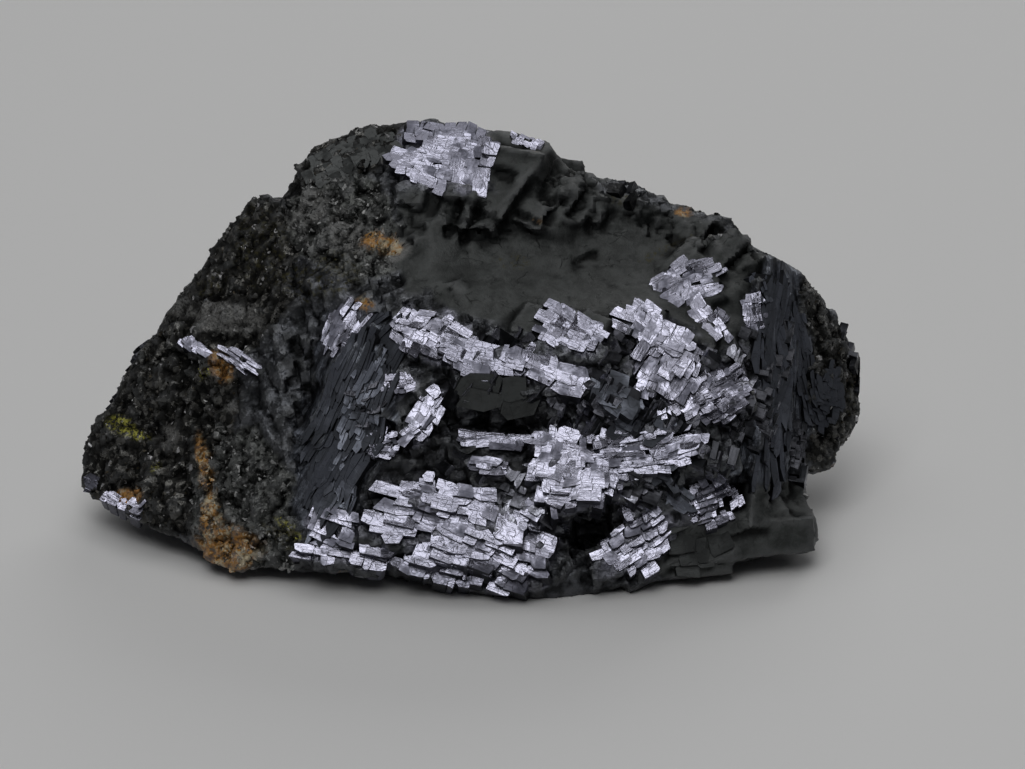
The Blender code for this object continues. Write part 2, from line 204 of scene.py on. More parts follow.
zones = {
    "dull": [
        [(-9, 52.6), (-3.2, 53.8), (1.3, 46.8), (7.7, 48.7), (16.7, 53.2), (28.3, 50), (35.3, 47.4),
         (37.3, 44.2), (34.7, 33.9), (29.6, 33.3), (25.7, 35.9), (21.8, 36.5), (16.7, 34.6), (9.6, 35.2),
         (3.9, 35.9), (-3.9, 37.8), (-7.7, 41), (-9.6, 46.8)],
        [(-3.9, 53.2), (2.6, 52.6), (2.2, 58.3), (2.6, 62.5), (9.6, 61), (17.5, 55.4), (16.7, 50),
         (7.7, 48.1), (2.2, 45.5), (-3.9, 46.8)],
        [(29.6, 10.8), (33.4, 14.6), (42.8, 15.3), (46, 10.8), (46, 5.6), (34.7, 3), (27, 2), (23.8, 4.7)],
    ],
    "granular": [
        [(-28.3, 54), (-23.8, 50), (-21.8, 44.2), (-23.8, 39.1), (-28.3, 31.4), (-31.5, 23.6),
         (-34.7, 17.2), (-35.3, 8.2), (-41.1, 9), (-47.5, 10), (-52, 13), (-52, 21.1), (-43, 33),
         (-39, 40), (-33, 48)],
        [(-25, 52.6), (-23, 57), (-16.1, 62), (-9, 62.5), (-9.6, 58.3), (-12.9, 54.5), (-18, 53.8)],
        [(41.8, 44), (48, 36), (52, 28), (52, 22), (45, 15), (43.2, 19.8), (43.9, 35.2)],
    ],
    "quartz": [
        [(-23.8, 51.9), (-18, 55.8), (-11.6, 53.8), (-9, 47.4), (-8.4, 42.9), (-12.9, 41), (-18, 42.3),
         (-23.1, 45.5)],
        [(-33.4, 22.4), (-27.6, 23), (-23.1, 17.2), (-21.8, 10.8), (-23.1, 3), (-29.6, 2.5), (-35.5, 5),
         (-35.7, 10.8), (-34.7, 17.2)],
    ],
    "striated": [
        [(-18.6, 37.8), (-13.5, 37.8), (-9, 33.9), (-8.4, 23.6), (-12.9, 14.6), (-15.4, 10.2),
         (-21.2, 10.2), (-22.5, 15.9), (-21.8, 22.4), (-18.6, 30.1)],
        [(35.3, 45.5), (41.1, 43.9), (43.9, 35.2), (43, 23.6), (42.4, 15.9), (37.3, 14.6), (34, 17.2),
         (36.6, 26.2), (36, 35.2)],
    ],
    # hollow: the skin sinks here, and its colour is darkened with painted shade
    "hollow": [
        [(-10.9, 23.6), (-6.4, 21.1), (-2.6, 22.4), (7.7, 21.1), (9, 13.4), (3.9, 14), (-1.3, 14.6),
         (-9, 15.3), (-12.9, 10.8), (-15.4, 8.2), (-16.1, 13.4), (-12.9, 18.5)],
        [(1.3, 27.5), (10.3, 27.2), (10, 22.1), (0, 22.4)],
        [(12.2, 13.4), (18.6, 12.7), (19.3, 5.7), (13.5, 4.4), (11.6, 8.2)],
    ],
}

spots = {
    "pale": [
        dict(at=(-33, 37.2), half=(6.0, 1.7), turn=-14),
        dict(at=(-38.6, 21.2), half=(1.3, 1.6)),
        dict(at=(-30.6, 25.2), half=(1.1, 0.7)),
        dict(at=(-9.4, 45.6), half=(1.7, 1.5)),
        dict(at=(-21, 50.5), half=(2.6, 1.8), turn=30),
        dict(at=(-15.5, 48), half=(2.2, 3.2), turn=20),
        dict(at=(1.0, 57.2), half=(1.6, 3.2), turn=-30),
    ],
    "stain": [
        dict(at=(-31.5, 7.2), half=(4.0, 3.2), turn=-20),
        dict(at=(-34.2, 18.2), half=(0.7, 3.6), turn=12),
        dict(at=(-33.6, 11.8), half=(0.8, 2.6), turn=-10),
        dict(at=(-11.6, 46.4), half=(2.6, 1.2), turn=-10),
        dict(at=(-31.6, 30.2), half=(1.3, 2.2), turn=30),
        dict(at=(-43.6, 13.8), half=(2.1, 1.2), turn=10),
        dict(at=(27.2, 50.4), half=(1.0, 0.6)),
        dict(at=(9.0, 49.4), half=(0.7, 0.22), turn=-30),
        dict(at=(-13.5, 38.5), half=(1.2, 0.8)),
    ],
    "olive": [
        dict(at=(25.4, 45.8), half=(3.6, 0.6), turn=27),
        dict(at=(19.6, 52.2), half=(1.6, 1.0), turn=-20),
        dict(at=(-19, 42), half=(5.0, 2.4), turn=15),
        dict(at=(-27, 46), half=(3.4, 5.0)),
        dict(at=(-24, 8.8), half=(3.0, 1.2), turn=-35),
        dict(at=(49.6, 29), half=(1.0, 5.0), turn=-8),
        dict(at=(-33.4, 41), half=(3.0, 1.2), turn=30),
        dict(at=(5.2, 44.0), half=(2.4, 0.8), turn=-10),
    ],
    "craggy": [
        dict(at=(14.2, 52.6), half=(5.4, 3.6), turn=-20),
        dict(at=(26.0, 48.8), half=(9.5, 2.4), turn=-16),
        dict(at=(36.0, 44.2), half=(3.4, 2.4)),
        dict(at=(0.0, 49.6), half=(5.0, 2.2), turn=-24),
        dict(at=(-8.0, 49.0), half=(2.4, 3.2)),
    ],
    "brassy": [
        dict(at=(-44.6, 22.9), half=(1.7, 1.1), turn=-30),
        dict(at=(-42.2, 21.6), half=(1.9, 0.6), turn=-12),
        dict(at=(-34.2, 29.6), half=(0.5, 0.7)),
        dict(at=(-40.4, 17.8), half=(0.9, 0.4), turn=60),
        dict(at=(-23, 9.4), half=(2.0, 0.5), turn=-38),
        dict(at=(-5.6, 37.0), half=(0.9, 0.6)),
        dict(at=(-2.4, 12.8), half=(1.6, 0.5)),
    ],
}

# Ledges across the dull faces, mm. The skin drops on the left of the way from the first end to the second,
# and comes back up within the reach.
ledges = {
    "crestInner": dict(ends=((0.9, 51.8), (-1.6, 46.8)), drop=0.9, reach=2.2),
    "crestOuter": dict(ends=((-1.7, 52.4), (-3.6, 47.4)), drop=0.8, reach=2.0),
    "crestCross": dict(ends=((4.3, 49.2), (0.3, 51.5)), drop=0.6, reach=2.4),
    "crestCrossRight": dict(ends=((9.4, 49.3), (6.6, 51.1)), drop=0.6, reach=2.0),
    "blockCrack": dict(ends=((6.0, 55.5), (3.0, 56.4)), drop=0.45, reach=3.0),
    "flankInner": dict(ends=((11.9, 52.6), (9.2, 49.4)), drop=0.9, reach=2.2),
    "flankOuter": dict(ends=((14.7, 53.3), (12.4, 50.2)), drop=0.9, reach=2.2),
    "notch": dict(ends=((16.3, 45.7), (12.7, 44.2)), drop=0.45, reach=2.6),
    "shoulder": dict(ends=((31.3, 49.3), (29.0, 45.2)), drop=0.9, reach=2.6),
    "shoulderOuter": dict(ends=((37.0, 47.8), (33.0, 43.8)), drop=0.9, reach=3.0),
    "lowSlab": dict(ends=((38.6, 10.4), (31.4, 8.6)), drop=0.6, reach=2.6),
}


# the skin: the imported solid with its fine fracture

skinSizes = {
    "cell": 0.5,      # edge of its faces, mm
    "evened": (0.5, 14),                         # factor and rounds that smooth the body under the blocks
    "lumps": ((2.4, 0.30, 21), (0.95, 0.17, 22)),    # round lumps: width and height, mm, and a seed
    "chips": {                                   # angular ones by their ground: width, height, and a seed
        "matrix": ((2.0, 1.0, 26), (1.0, 0.5, 27)),
        "plain": ((1.7, 0.22, 28),),
        "dull": ((3.4, 0.6, 29),),
        "craggy": ((1.9, 0.36, 34), (0.9, 0.16, 35)),
    },
    "matrixChips": (0.28, 0.42),                 # share of the matrix's chips in sphalerite, and in quartz
    "dullShare": 0.22,                           # how rough the dull faces are, against the plain ones
    "steps": (1.5, 0.42),                        # cleavage steps: height, and how sharply they are cut
    "turn": (18, 30, 0),                         # lattice of the plain galena
    # flutes of the striated faces left and right of the front: how each is turned, width and height, mm
    "flutes": dict(left=(64, 6, -26), right=(82, 6, 36), width=0.9, height=0.34, stretch=0.12),
    "sharp": 28,                                 # edges steeper than this aren't smoothed, degrees
}

# What the hidden sides show: width of its patches, mm, a seed, the levels of noise between which they fade
# in, and how much of it shows.
hiddenSpots = {
    "dull": dict(size=15, seed=11, between=(0.1, 0.3), share=1.0),
    "granular": dict(size=12, seed=12, between=(0.22, 0.4), share=1.0),
    "quartz": dict(size=9, seed=13, between=(0.42, 0.55), share=1.0),
    "stain": dict(size=5, seed=14, between=(0.55, 0.8), share=0.6),
}


def freshObject(name, mesh):
    made = bpy.data.objects.new(name, mesh)
    bpy.context.scene.collection.objects.link(made)
    return made


def evaluatedMesh(source, name):
    graph = bpy.context.evaluated_depsgraph_get()
    mesh = bpy.data.meshes.new_from_object(
        source.evaluated_get(graph), preserve_all_data_layers=True, depsgraph=graph)
    mesh.name = name
    return mesh


def vectorsOf(items, name):
    flat = np.empty(len(items) * 3)
    items.foreach_get(name, flat)
    return flat.reshape(-1, 3)


def wholesOf(items, name):
    flat = np.empty(len(items), np.int32)
    items.foreach_get(name, flat)
    return flat


def coordinates(mesh):
    return vectorsOf(mesh.vertices, "co")


def normals(mesh):
    return vectorsOf(mesh.vertices, "normal")


def setCoordinates(mesh, points):
    # The points go in, but not past the solid's box.
    low = np.array(solidBox[0])
    high = np.array(solidBox[1])
    mesh.vertices.foreach_set("co", np.clip(points, low, high).ravel())
    mesh.update()


def setFloats(mesh, name, values, domain="POINT"):
    layer = mesh.attributes.get(name) or mesh.attributes.new(name, "FLOAT", domain)
    layer.data.foreach_set("value", np.asarray(values, np.float32))


def setVectors(mesh, name, values):
    layer = mesh.attributes.get(name) or mesh.attributes.new(name, "FLOAT_VECTOR", "POINT")
    layer.data.foreach_set("vector", np.asarray(values, np.float32).ravel())


def skinFromSolid():
    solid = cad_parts["galena_specimen"]
    shape = bmesh.new()
    shape.from_mesh(solid.data)
    bmesh.ops.remove_doubles(shape, verts=shape.verts, dist=0.001 * mm)
    mesh = bpy.data.meshes.new("skinBase")
    shape.to_mesh(mesh)
    shape.free()
    base = freshObject("skinBase", mesh)
    fine = base.modifiers.new("fine", "REMESH")
    fine.mode = "VOXEL"
    fine.voxel_size = skinSizes["cell"] * mm
    skin = evaluatedMesh(base, "oreSkin")
    skin.materials.clear()
    even = base.modifiers.new("even", "SMOOTH")
    even.factor, even.iterations = skinSizes["evened"]
    smoothed = evaluatedMesh(base, "smoothBody")
    bpy.data.objects.remove(base, do_unlink=True)
    return skin, smoothed


def masksOf(points, faces):
    # How far each zone and spot holds at each point. faces are the points' normals.
    seen = pictured(points)
    shown = eased(faces @ pictureAxes[2], -0.12, 0.12)
    fray = blobs(points, 2.6 * mm, 3) * 1.0 + blobs(points, 0.9 * mm, 4) * 0.6
    wide = blobs(points, 6 * mm, 8) * 1.8
    moved = seen + np.stack([fray + wide, blobs(points, 2.2 * mm, 5) * 1.2, np.zeros(len(seen))], axis=1)
    masks = {}
    for name, outlines in zones.items():
        held = [insideOutline(moved, np.array(outline, float), 0.5) for outline in outlines]
        masks[name] = np.max(held, axis=0) * shown
    for name, places in spots.items():
        held = [insideSpot(seen, place, fray * 0.35) for place in places]
        masks[name] = np.max(held, axis=0) * shown
    for name, spot in hiddenSpots.items():
        held = eased(blobs(points, spot["size"] * mm, spot["seed"]), *spot["between"])
        masks[name] = np.maximum(masks[name], (1 - shown) * held * spot["share"])
    return masks, seen


def stepped(points, axis, height, sharp, fray):
    # How far to move points along the axis so that they gather on steps of this height.
    level = points @ axis / (height * mm) + fray
    share = level - np.floor(level)
    flat = np.floor(level) + eased(share, 0.5 - sharp / 2, 0.5 + sharp / 2)
    return (flat - level)[:, None] * axis * height * mm


def ledgeDrop(seen):
    total = np.zeros(len(seen))
    for ledge in ledges.values():
        start, end = (np.array(place) for place in ledge["ends"])
        length = np.linalg.norm(end - start)
        along = (end - start) / length
        share = (seen[:, :2] - start) @ along / length
        apart = (seen[:, :2] - start) @ np.array((-along[1], along[0]))
        held = eased(share, -0.1, 0.12) * eased(1.1 - share, 0, 0.22) * ledge["drop"]
        total += held * eased(apart, 0, 0.45) * (1 - eased(apart, 0.45, ledge["reach"]))
    return total


def fluteAxes(seen):
    # Across and along the flutes at each point: the faces left and right of the front have their own.
    onRight = eased(seen[:, 0], 25, 30)[:, None]
    left, right = (turned(*skinSizes["flutes"][side]) for side in ("left", "right"))
    return [np.array(left.col[axis]) * (1 - onRight) + np.array(right.col[axis]) * onRight for axis in (1, 0)]


def fracture(skin):
    points = coordinates(skin)
    faces = normals(skin)
    masks, seen = masksOf(points, faces)
    plain = 1 - masks["dull"]
    matrix = np.maximum(masks["granular"], masks["quartz"])
    inSphalerite, inQuartz = skinSizes["matrixChips"]
    grounds = {
        "matrix": inSphalerite * masks["granular"] + inQuartz * masks["quartz"],
        "plain": plain * (1 - matrix),
        "dull": masks["dull"],
        "craggy": masks["craggy"] * masks["dull"] / skinSizes["dullShare"],
    }
    lift = sum(blobs(points, width * mm, seed) * height for width, height, seed in skinSizes["lumps"])
    lift *= 1 - 0.4 * matrix
    for ground, chips in skinSizes["chips"].items():
        for width, height, seed in chips:
            lift += crumbled(points, width * mm, seed) * height * grounds[ground]
    # striated zones get long flutes instead
    flutes = skinSizes["flutes"]
    across, along = fluteAxes(seen)
    byFlute = [np.sum(points * across, axis=1), np.sum(points * along, axis=1)]
    stretched = np.stack([byFlute[0], byFlute[1] * flutes["stretch"], np.zeros(len(points))], axis=1)
    fluteLift = blobs(stretched, flutes["width"] * mm, 23) * flutes["height"]
    rough = plain * (1 + 0.5 * masks["granular"] + 0.4 * masks["quartz"])
    rough += skinSizes["dullShare"] * masks["dull"]
    lift = lift * rough * (1 - 0.8 * masks["striated"]) + fluteLift * masks["striated"]
    lift -= masks["hollow"] * 0.3
    lift -= ledgeDrop(seen + blobs(points, 1.2 * mm, 36)[:, None] * 0.25) * masks["dull"]
    # galena breaks in steps along its lattice
    lattice = turned(*skinSizes["turn"])
    broken = plain * (1 - masks["granular"]) * (1 - masks["quartz"]) * (1 - masks["striated"])
    fray = blobs(points, 3.0 * mm, 24) * 0.6
    moves = sum(stepped(points, np.array(axis), *skinSizes["steps"], fray) * 0.5 for axis in lattice.col)
    footed = eased(points[:, 2], 0.3 * mm, 2.5 * mm)[:, None]
    points = points + (faces * lift[:, None] * mm + moves * broken[:, None]) * footed
    setCoordinates(skin, points)
    points = coordinates(skin)
    sunk = np.einsum("ij,ij->i", evened(skin, points, 10) - points, normals(skin)) / mm
    # painted shade on dull faces that look less upward, from about 26 mm up
    masks["riser"] = masks["dull"] * (1 - eased(normals(skin)[:, 2], 0.45, 0.8)) * eased(seen[:, 1], 26, 34)
    # cavity: painted shade where the skin lies below its smoothed neighbours
    # edge: a painted highlight where the skin stands above its smoothed neighbours
    marks = {"cavity": eased(sunk, 0.02, 0.22), "edge": eased(-sunk, 0.05, 0.25), **masks}
    for name, values in marks.items():
        setFloats(skin, name, values)
    byFlute = [np.sum(points * across, axis=1), np.sum(points * along, axis=1)]
    setVectors(skin, "along", np.stack([*byFlute, points @ np.array(lattice.col[2])], axis=1) / mm)
    smooth = np.maximum(masks["dull"] * (1 - masks["craggy"]), masks["striated"]) > 0.4
    firstCorners = wholesOf(skin.loops, "vertex_index")[wholesOf(skin.polygons, "loop_start")]
    skin.polygons.foreach_set("use_smooth", smooth[firstCorners])
    skin.set_sharp_from_angle(angle=math.radians(skinSizes["sharp"]))
    return masks


skinMesh, smoothMesh = skinFromSolid()
skinMasks = fracture(skinMesh)
oreSkin = freshObject("oreSkin", skinMesh)
skinMesh.calc_loop_triangles()
print("skin:", len(skinMesh.loop_triangles), "triangles")


# nodes: sums on sockets, and one way to add any node

class Wire:
    # A node's output that can stand in a sum.
    def __init__(self, bench, socket):
        self.bench = bench
        self.socket = socket

    def other(self, name):
        return Wire(self.bench, self.socket.node.outputs[name])

    def worked(self, operation, first, second):
        return self.bench.node("ShaderNodeMath", {"operation": operation}, {0: first, 1: second})

    def __add__(self, value):
        return self.worked("ADD", self, value)

    def __radd__(self, value):
        return self.worked("ADD", value, self)

    def __sub__(self, value):
        return self.worked("SUBTRACT", self, value)

    def __rsub__(self, value):
        return self.worked("SUBTRACT", value, self)

    def __mul__(self, value):
        return self.worked("MULTIPLY", self, value)

    def __rmul__(self, value):
        return self.worked("MULTIPLY", value, self)

    def __truediv__(self, value):
        return self.worked("DIVIDE", self, value)

    def __rtruediv__(self, value):
        return self.worked("DIVIDE", value, self)

    def __pow__(self, value):
        return self.worked("POWER", self, value)

    def __lt__(self, value):
        return self.worked("LESS_THAN", self, value)

    def __gt__(self, value):
        return self.worked("GREATER_THAN", self, value)


class Bench:
    # Where a tree's nodes are put together.
    def __init__(self, tree):
        self.tree = tree

    def node(self, kind, settings=None, values=None, out=0):
        made = self.tree.nodes.new(kind)
        for name, value in (settings or {}).items():
            if name == "stops":
                self.setStops(made.color_ramp, value)
            else:
                setattr(made, name, value)
        for name, value in (values or {}).items():
            self.feed(self.inputOf(made, name), value)
        return Wire(self, made.outputs[out]) if len(made.outputs) else made

    def inputOf(self, made, name):
        if isinstance(name, int):
            return made.inputs[name]
        return next(socket for socket in made.inputs if socket.name == name and socket.enabled)

    def feed(self, socket, value):
        if isinstance(value, Wire):
            self.tree.links.new(value.socket, socket)
        else:
            socket.default_value = value

    def setStops(self, ramp, stops):
        while len(ramp.elements) < len(stops):
            ramp.elements.new(0.5)
        for element, (place, colour) in zip(ramp.elements, stops):
            element.position = place
            element.color = (*colour, 1) if len(colour) == 3 else colour

    def ease(self, value, low, high):
        return self.node(
            "ShaderNodeMapRange", {"interpolation_type": "SMOOTHSTEP"},
            {"Value": value, "From Min": low, "From Max": high})

    def mixed(self, share, first, second):
        # Two colours by a share.
        first = (*first, 1) if isinstance(first, tuple) else first
        second = (*second, 1) if isinstance(second, tuple) else second
        return self.node("ShaderNodeMix", {"data_type": "RGBA"}, {0: share, 6: first, 7: second}, 2)

    def blend(self, share, first, second):
        # Two numbers by a share.
        return self.node("ShaderNodeMix", {"data_type": "FLOAT"}, {0: share, 2: first, 3: second}, 0)

    def vector(self, operation, first, second=None, out=0):
        values = {0: first} if second is None else {0: first, 1: second}
        return self.node("ShaderNodeVectorMath", {"operation": operation}, values, out)

    def scaled(self, first, scale):
        return self.node("ShaderNodeVectorMath", {"operation": "SCALE"}, {0: first, 3: scale})

    def millimetres(self):
        # A place on the piece, in mm.
        return self.scaled(self.node("ShaderNodeTexCoord", {}, {}, "Object"), 1000.0)

    def noise(self, where, scale, detail=2.0, rough=0.5, out=0):
        return self.node("ShaderNodeTexNoise", {}, {
            "Vector": where, "Scale": scale, "Detail": detail, "Roughness": rough}, out)

    def clouded(self, where, scale, detail, rough, low, high):
        # Clouds that fade in between two levels of the noise.
        return self.ease(self.noise(where, scale, detail, rough), low, high)

    def cells(self, where, scale, settings=None, out=0, randomness=1.0):
        return self.node("ShaderNodeTexVoronoi", settings or {}, {
            "Vector": where, "Scale": scale, "Randomness": randomness}, out)

    def attribute(self, name, out=2):
        return self.node("ShaderNodeAttribute", {"attribute_name": name}, {}, out)

    def bump(self, strength, relief, height, normal=None):
        # Fine relief, its height in mm.
        values = {"Strength": strength, "Distance": relief * mm, "Height": height}
        if normal is not None:
            values["Normal"] = normal
        return self.node("ShaderNodeBump", {}, values)


def newMaterial(name):
    material = bpy.data.materials.new(name)
    material.use_nodes = True
    material.node_tree.nodes.clear()
    return material, Bench(material.node_tree)


def finishMaterial(bench, values):
    # The shader's own sockets take the plain numbers, and the wires feed what varies.
    shader = bench.node("ShaderNodeBsdfPrincipled", {}, values)
    bench.node("ShaderNodeOutputMaterial", {}, {"Surface": shader})


def tiltedNormal(bench, tilts):
    # The surface's own normal, turned a little by each tilt, so that single facets catch the light.
    normal = bench.node("ShaderNodeNewGeometry", {}, {}, "Normal")
    for colour, amount in tilts:
        centred = bench.vector("SUBTRACT", colour, (0.5, 0.5, 0.5))
        normal = bench.vector("ADD", normal, bench.scaled(centred, amount))
    return bench.vector("NORMALIZE", normal)


# finishes of the skin

finishes = {
    "plain": dict(colour=(0.105, 0.11, 0.122), tarnish=(0.035, 0.037, 0.04), rough=0.34, metal=0.9),
    "bright": dict(colour=(0.345, 0.345, 0.42), tarnish=(0.14, 0.142, 0.178), rough=0.26, metal=1.0),
    "dull": dict(colour=(0.060, 0.065, 0.064), dark=(0.026, 0.029, 0.028), crack=(0.010, 0.011, 0.011),
                 rough=0.5, metal=0.35),
    "granular": dict(colour=(0.010, 0.010, 0.009), fleck=(0.12, 0.118, 0.11), rough=0.55, metal=0.7),
    "quartz": dict(colour=(0.12, 0.126, 0.12), dark=(0.012, 0.013, 0.012), rough=0.32, metal=0.25),
    "striated": dict(colour=(0.20, 0.218, 0.26), dark=(0.022, 0.024, 0.03), rough=0.62, metal=0.8),
    "pale": dict(colour=(0.15, 0.15, 0.145)),
    "stain": dict(colour=(0.40, 0.19, 0.034), dark=(0.09, 0.042, 0.014), cream=(0.52, 0.44, 0.29)),
    "olive": dict(colour=(0.045, 0.041, 0.017)),
    "brassy": dict(colour=(0.30, 0.29, 0.05)),
    # hollow: painted shade darkening the hollows
    "hollow": dict(colour=(0.012, 0.012, 0.013)),
    # cavity: painted shade in the crevices
    "cavity": dict(colour=(0.006, 0.006, 0.006)),
    # riser: painted shade on the steep dull faces
    "riser": dict(colour=(0.014, 0.015, 0.015)),
    # edge: a painted highlight along the ridges
    "edge": dict(colour=(0.16, 0.165, 0.17)),
}


def makeOreMaterial():
    material, bench = newMaterial("oreSkin")
    here = bench.millimetres()
    along = bench.attribute("along", 1)
    dull, granular, quartz, striated, hollow, bright = (bench.attribute(name) for name in (
        "dull", "granular", "quartz", "striated", "hollow", "bright"))
    pale, stain, olive, brassy, cavity, edge, riser = (bench.attribute(name) for name in (
        "pale", "stain", "olive", "brassy", "cavity", "edge", "riser"))

    def over(look, share, colour, rough, metal):
        # One ground over what is there already.
        return (bench.mixed(share, look[0], colour), bench.blend(share, look[1], rough),
                bench.blend(share, look[2], metal))

    # plain galena: facets a millimetre wide, some bright, some tarnished
    facets = bench.cells(here, 1.1, {"distance": "CHEBYCHEV"}, "Color")
    crumbs = bench.cells(here, 3.6, {"distance": "CHEBYCHEV"}, "Color")
    fine = bench.noise(here, 4.5, 3.0, 0.6)
    tarnish = bench.clouded(here, 0.55, 4.0, 0.6, 0.40, 0.62)
    finish = finishes["plain"]
    look = (bench.mixed(tarnish, finish["colour"], finish["tarnish"]),
            finish["rough"] + tarnish * 0.22 + (fine - 0.5) * 0.3, finish["metal"])

    # striated faces: long flutes, blue-grey on their crests
    fluteWhere = bench.vector("MULTIPLY", along, (1.0, 0.09, 0.3))
    flute = bench.noise(fluteWhere, 1.3, 5.0, 0.62)
    crest = bench.ease(flute * 0.7 + bench.noise(fluteWhere, 5.5, 3.0, 0.6) * 0.3, 0.40, 0.60)
    finish = finishes["striated"]
    look = over(look, striated, bench.mixed(crest, finish["dark"], finish["colour"]),
                finish["rough"] - crest * 0.28, finish["metal"])

    # bright galena between the blocks of the bright patches
    finish = finishes["bright"]
    look = over(look, bright, bench.mixed(tarnish, finish["colour"], finish["tarnish"]),
                finish["rough"] + tarnish * 0.2, finish["metal"])

    # dull slab: smooth and nearly matt, with hairline cracks and faint scuffs
    finish = finishes["dull"]
    bent = bench.vector("ADD", here, bench.scaled(bench.noise(here, 0.4, 3.0, 0.6, 1), 2.2))
    crackWhere = bench.vector("MULTIPLY", bent, (1.0, 1.5, 2.1))
    cracks = bench.cells(crackWhere, 0.23, {"feature": "DISTANCE_TO_EDGE"})
    crackHere = (1 - bench.ease(cracks, 0.0, 0.022)) * bench.clouded(here, 0.4, 2.0, 0.5, 0.52, 0.62) * 0.7
    scuff = bench.noise(bent, 0.42, 8.0, 0.72)
    mottled = bench.mixed(bench.ease(scuff, 0.38, 0.62), finish["dark"], finish["colour"])
    look = over(look, dull, bench.mixed(crackHere, mottled, finish["crack"]),
                finish["rough"] + (scuff - 0.5) * 0.25, finish["metal"])

    # granular sphalerite: near black, with small bright flecks
    finish = finishes["granular"]
    seeds = bench.cells(here, 1.25, {}, "Color")
    fleck = bench.ease(bench.node("ShaderNodeSeparateColor", {}, {0: seeds}, 0), 0.55, 0.95)
    look = over(look, granular, bench.mixed(fleck, finish["colour"], finish["fleck"]),
                finish["rough"] - fleck * 0.3, finish["metal"])

    # sugary quartz: pale grains with dark between them
    finish = finishes["quartz"]
    sugar = bench.cells(here, 1.5)
    sugarTint = bench.clouded(here, 0.5, 5.0, 0.7, 0.42, 0.62)
    look = over(look, quartz, bench.mixed(sugarTint, finish["dark"], finish["colour"]), finish["rough"],
                finish["metal"])
    colour, rough, metal = look

    # dustings and stains over all of these, and last painted shade in the hollows, crevices and on the
    # risers, and a painted highlight along the edges
    dust = pale * bench.ease(fine, 0.30, 0.55)
    finish = finishes["stain"]
    rust = bench.noise(here, 0.45, 6.0, 0.7)
    rustColour = bench.mixed(bench.ease(rust, 0.38, 0.48), finish["dark"], finish["colour"])
    rustColour = bench.mixed(bench.ease(rust, 0.50, 0.58), rustColour, finish["cream"])
    stainHere = stain * bench.clouded(here, 1.1, 5.0, 0.75, 0.38, 0.52)
    cavity = cavity * (1 - bright * 0.6)
    for share, tint in (
            (dust, finishes["pale"]["colour"]),
            (olive * bench.clouded(here, 1.6, 4.0, 0.7, 0.48, 0.62), finishes["olive"]["colour"]),
            (stainHere, rustColour),
            (brassy * bench.clouded(here, 2.2, 4.0, 0.7, 0.47, 0.55), finishes["brassy"]["colour"]),
            # painted shade in the hollows
            (hollow * (1 - bright) * 0.55, finishes["hollow"]["colour"]),
            # painted shade in the crevices
            (cavity * 0.8, finishes["cavity"]["colour"]),
            # painted shade on the steep dull faces
            (riser * 0.85, finishes["riser"]["colour"]),
            # a painted highlight along the ridges
            (edge * 0.3, finishes["edge"]["colour"])):
        colour = bench.mixed(share, colour, tint)
    metal = metal * (1 - dust) * (1 - stainHere)
    # a dark metal mirrors next to nothing, so crevices and risers stay dark under the lights
    for share in (cavity * 0.8, riser * 0.9):
        metal = bench.blend(share, metal, 1.0)

    tiltShare = (1 - dull) * 0.42 + 0.03
    normal = tiltedNormal(bench, [(facets, tiltShare), (crumbs, tiltShare * 0.7)])
    height = fine * 0.5 + sugar * quartz * 0.8 + flute * striated * 1.2 - crackHere * dull * 0.8
    height = height + scuff * dull * 1.2 + bench.noise(here, 1.6, 4.0, 0.6) * (1 - dull)
    finishMaterial(bench, {
        "Base Color": colour, "Roughness": rough, "Metallic": metal,
        "Normal": bench.bump(0.55, 0.25, height, normal)})
    return material


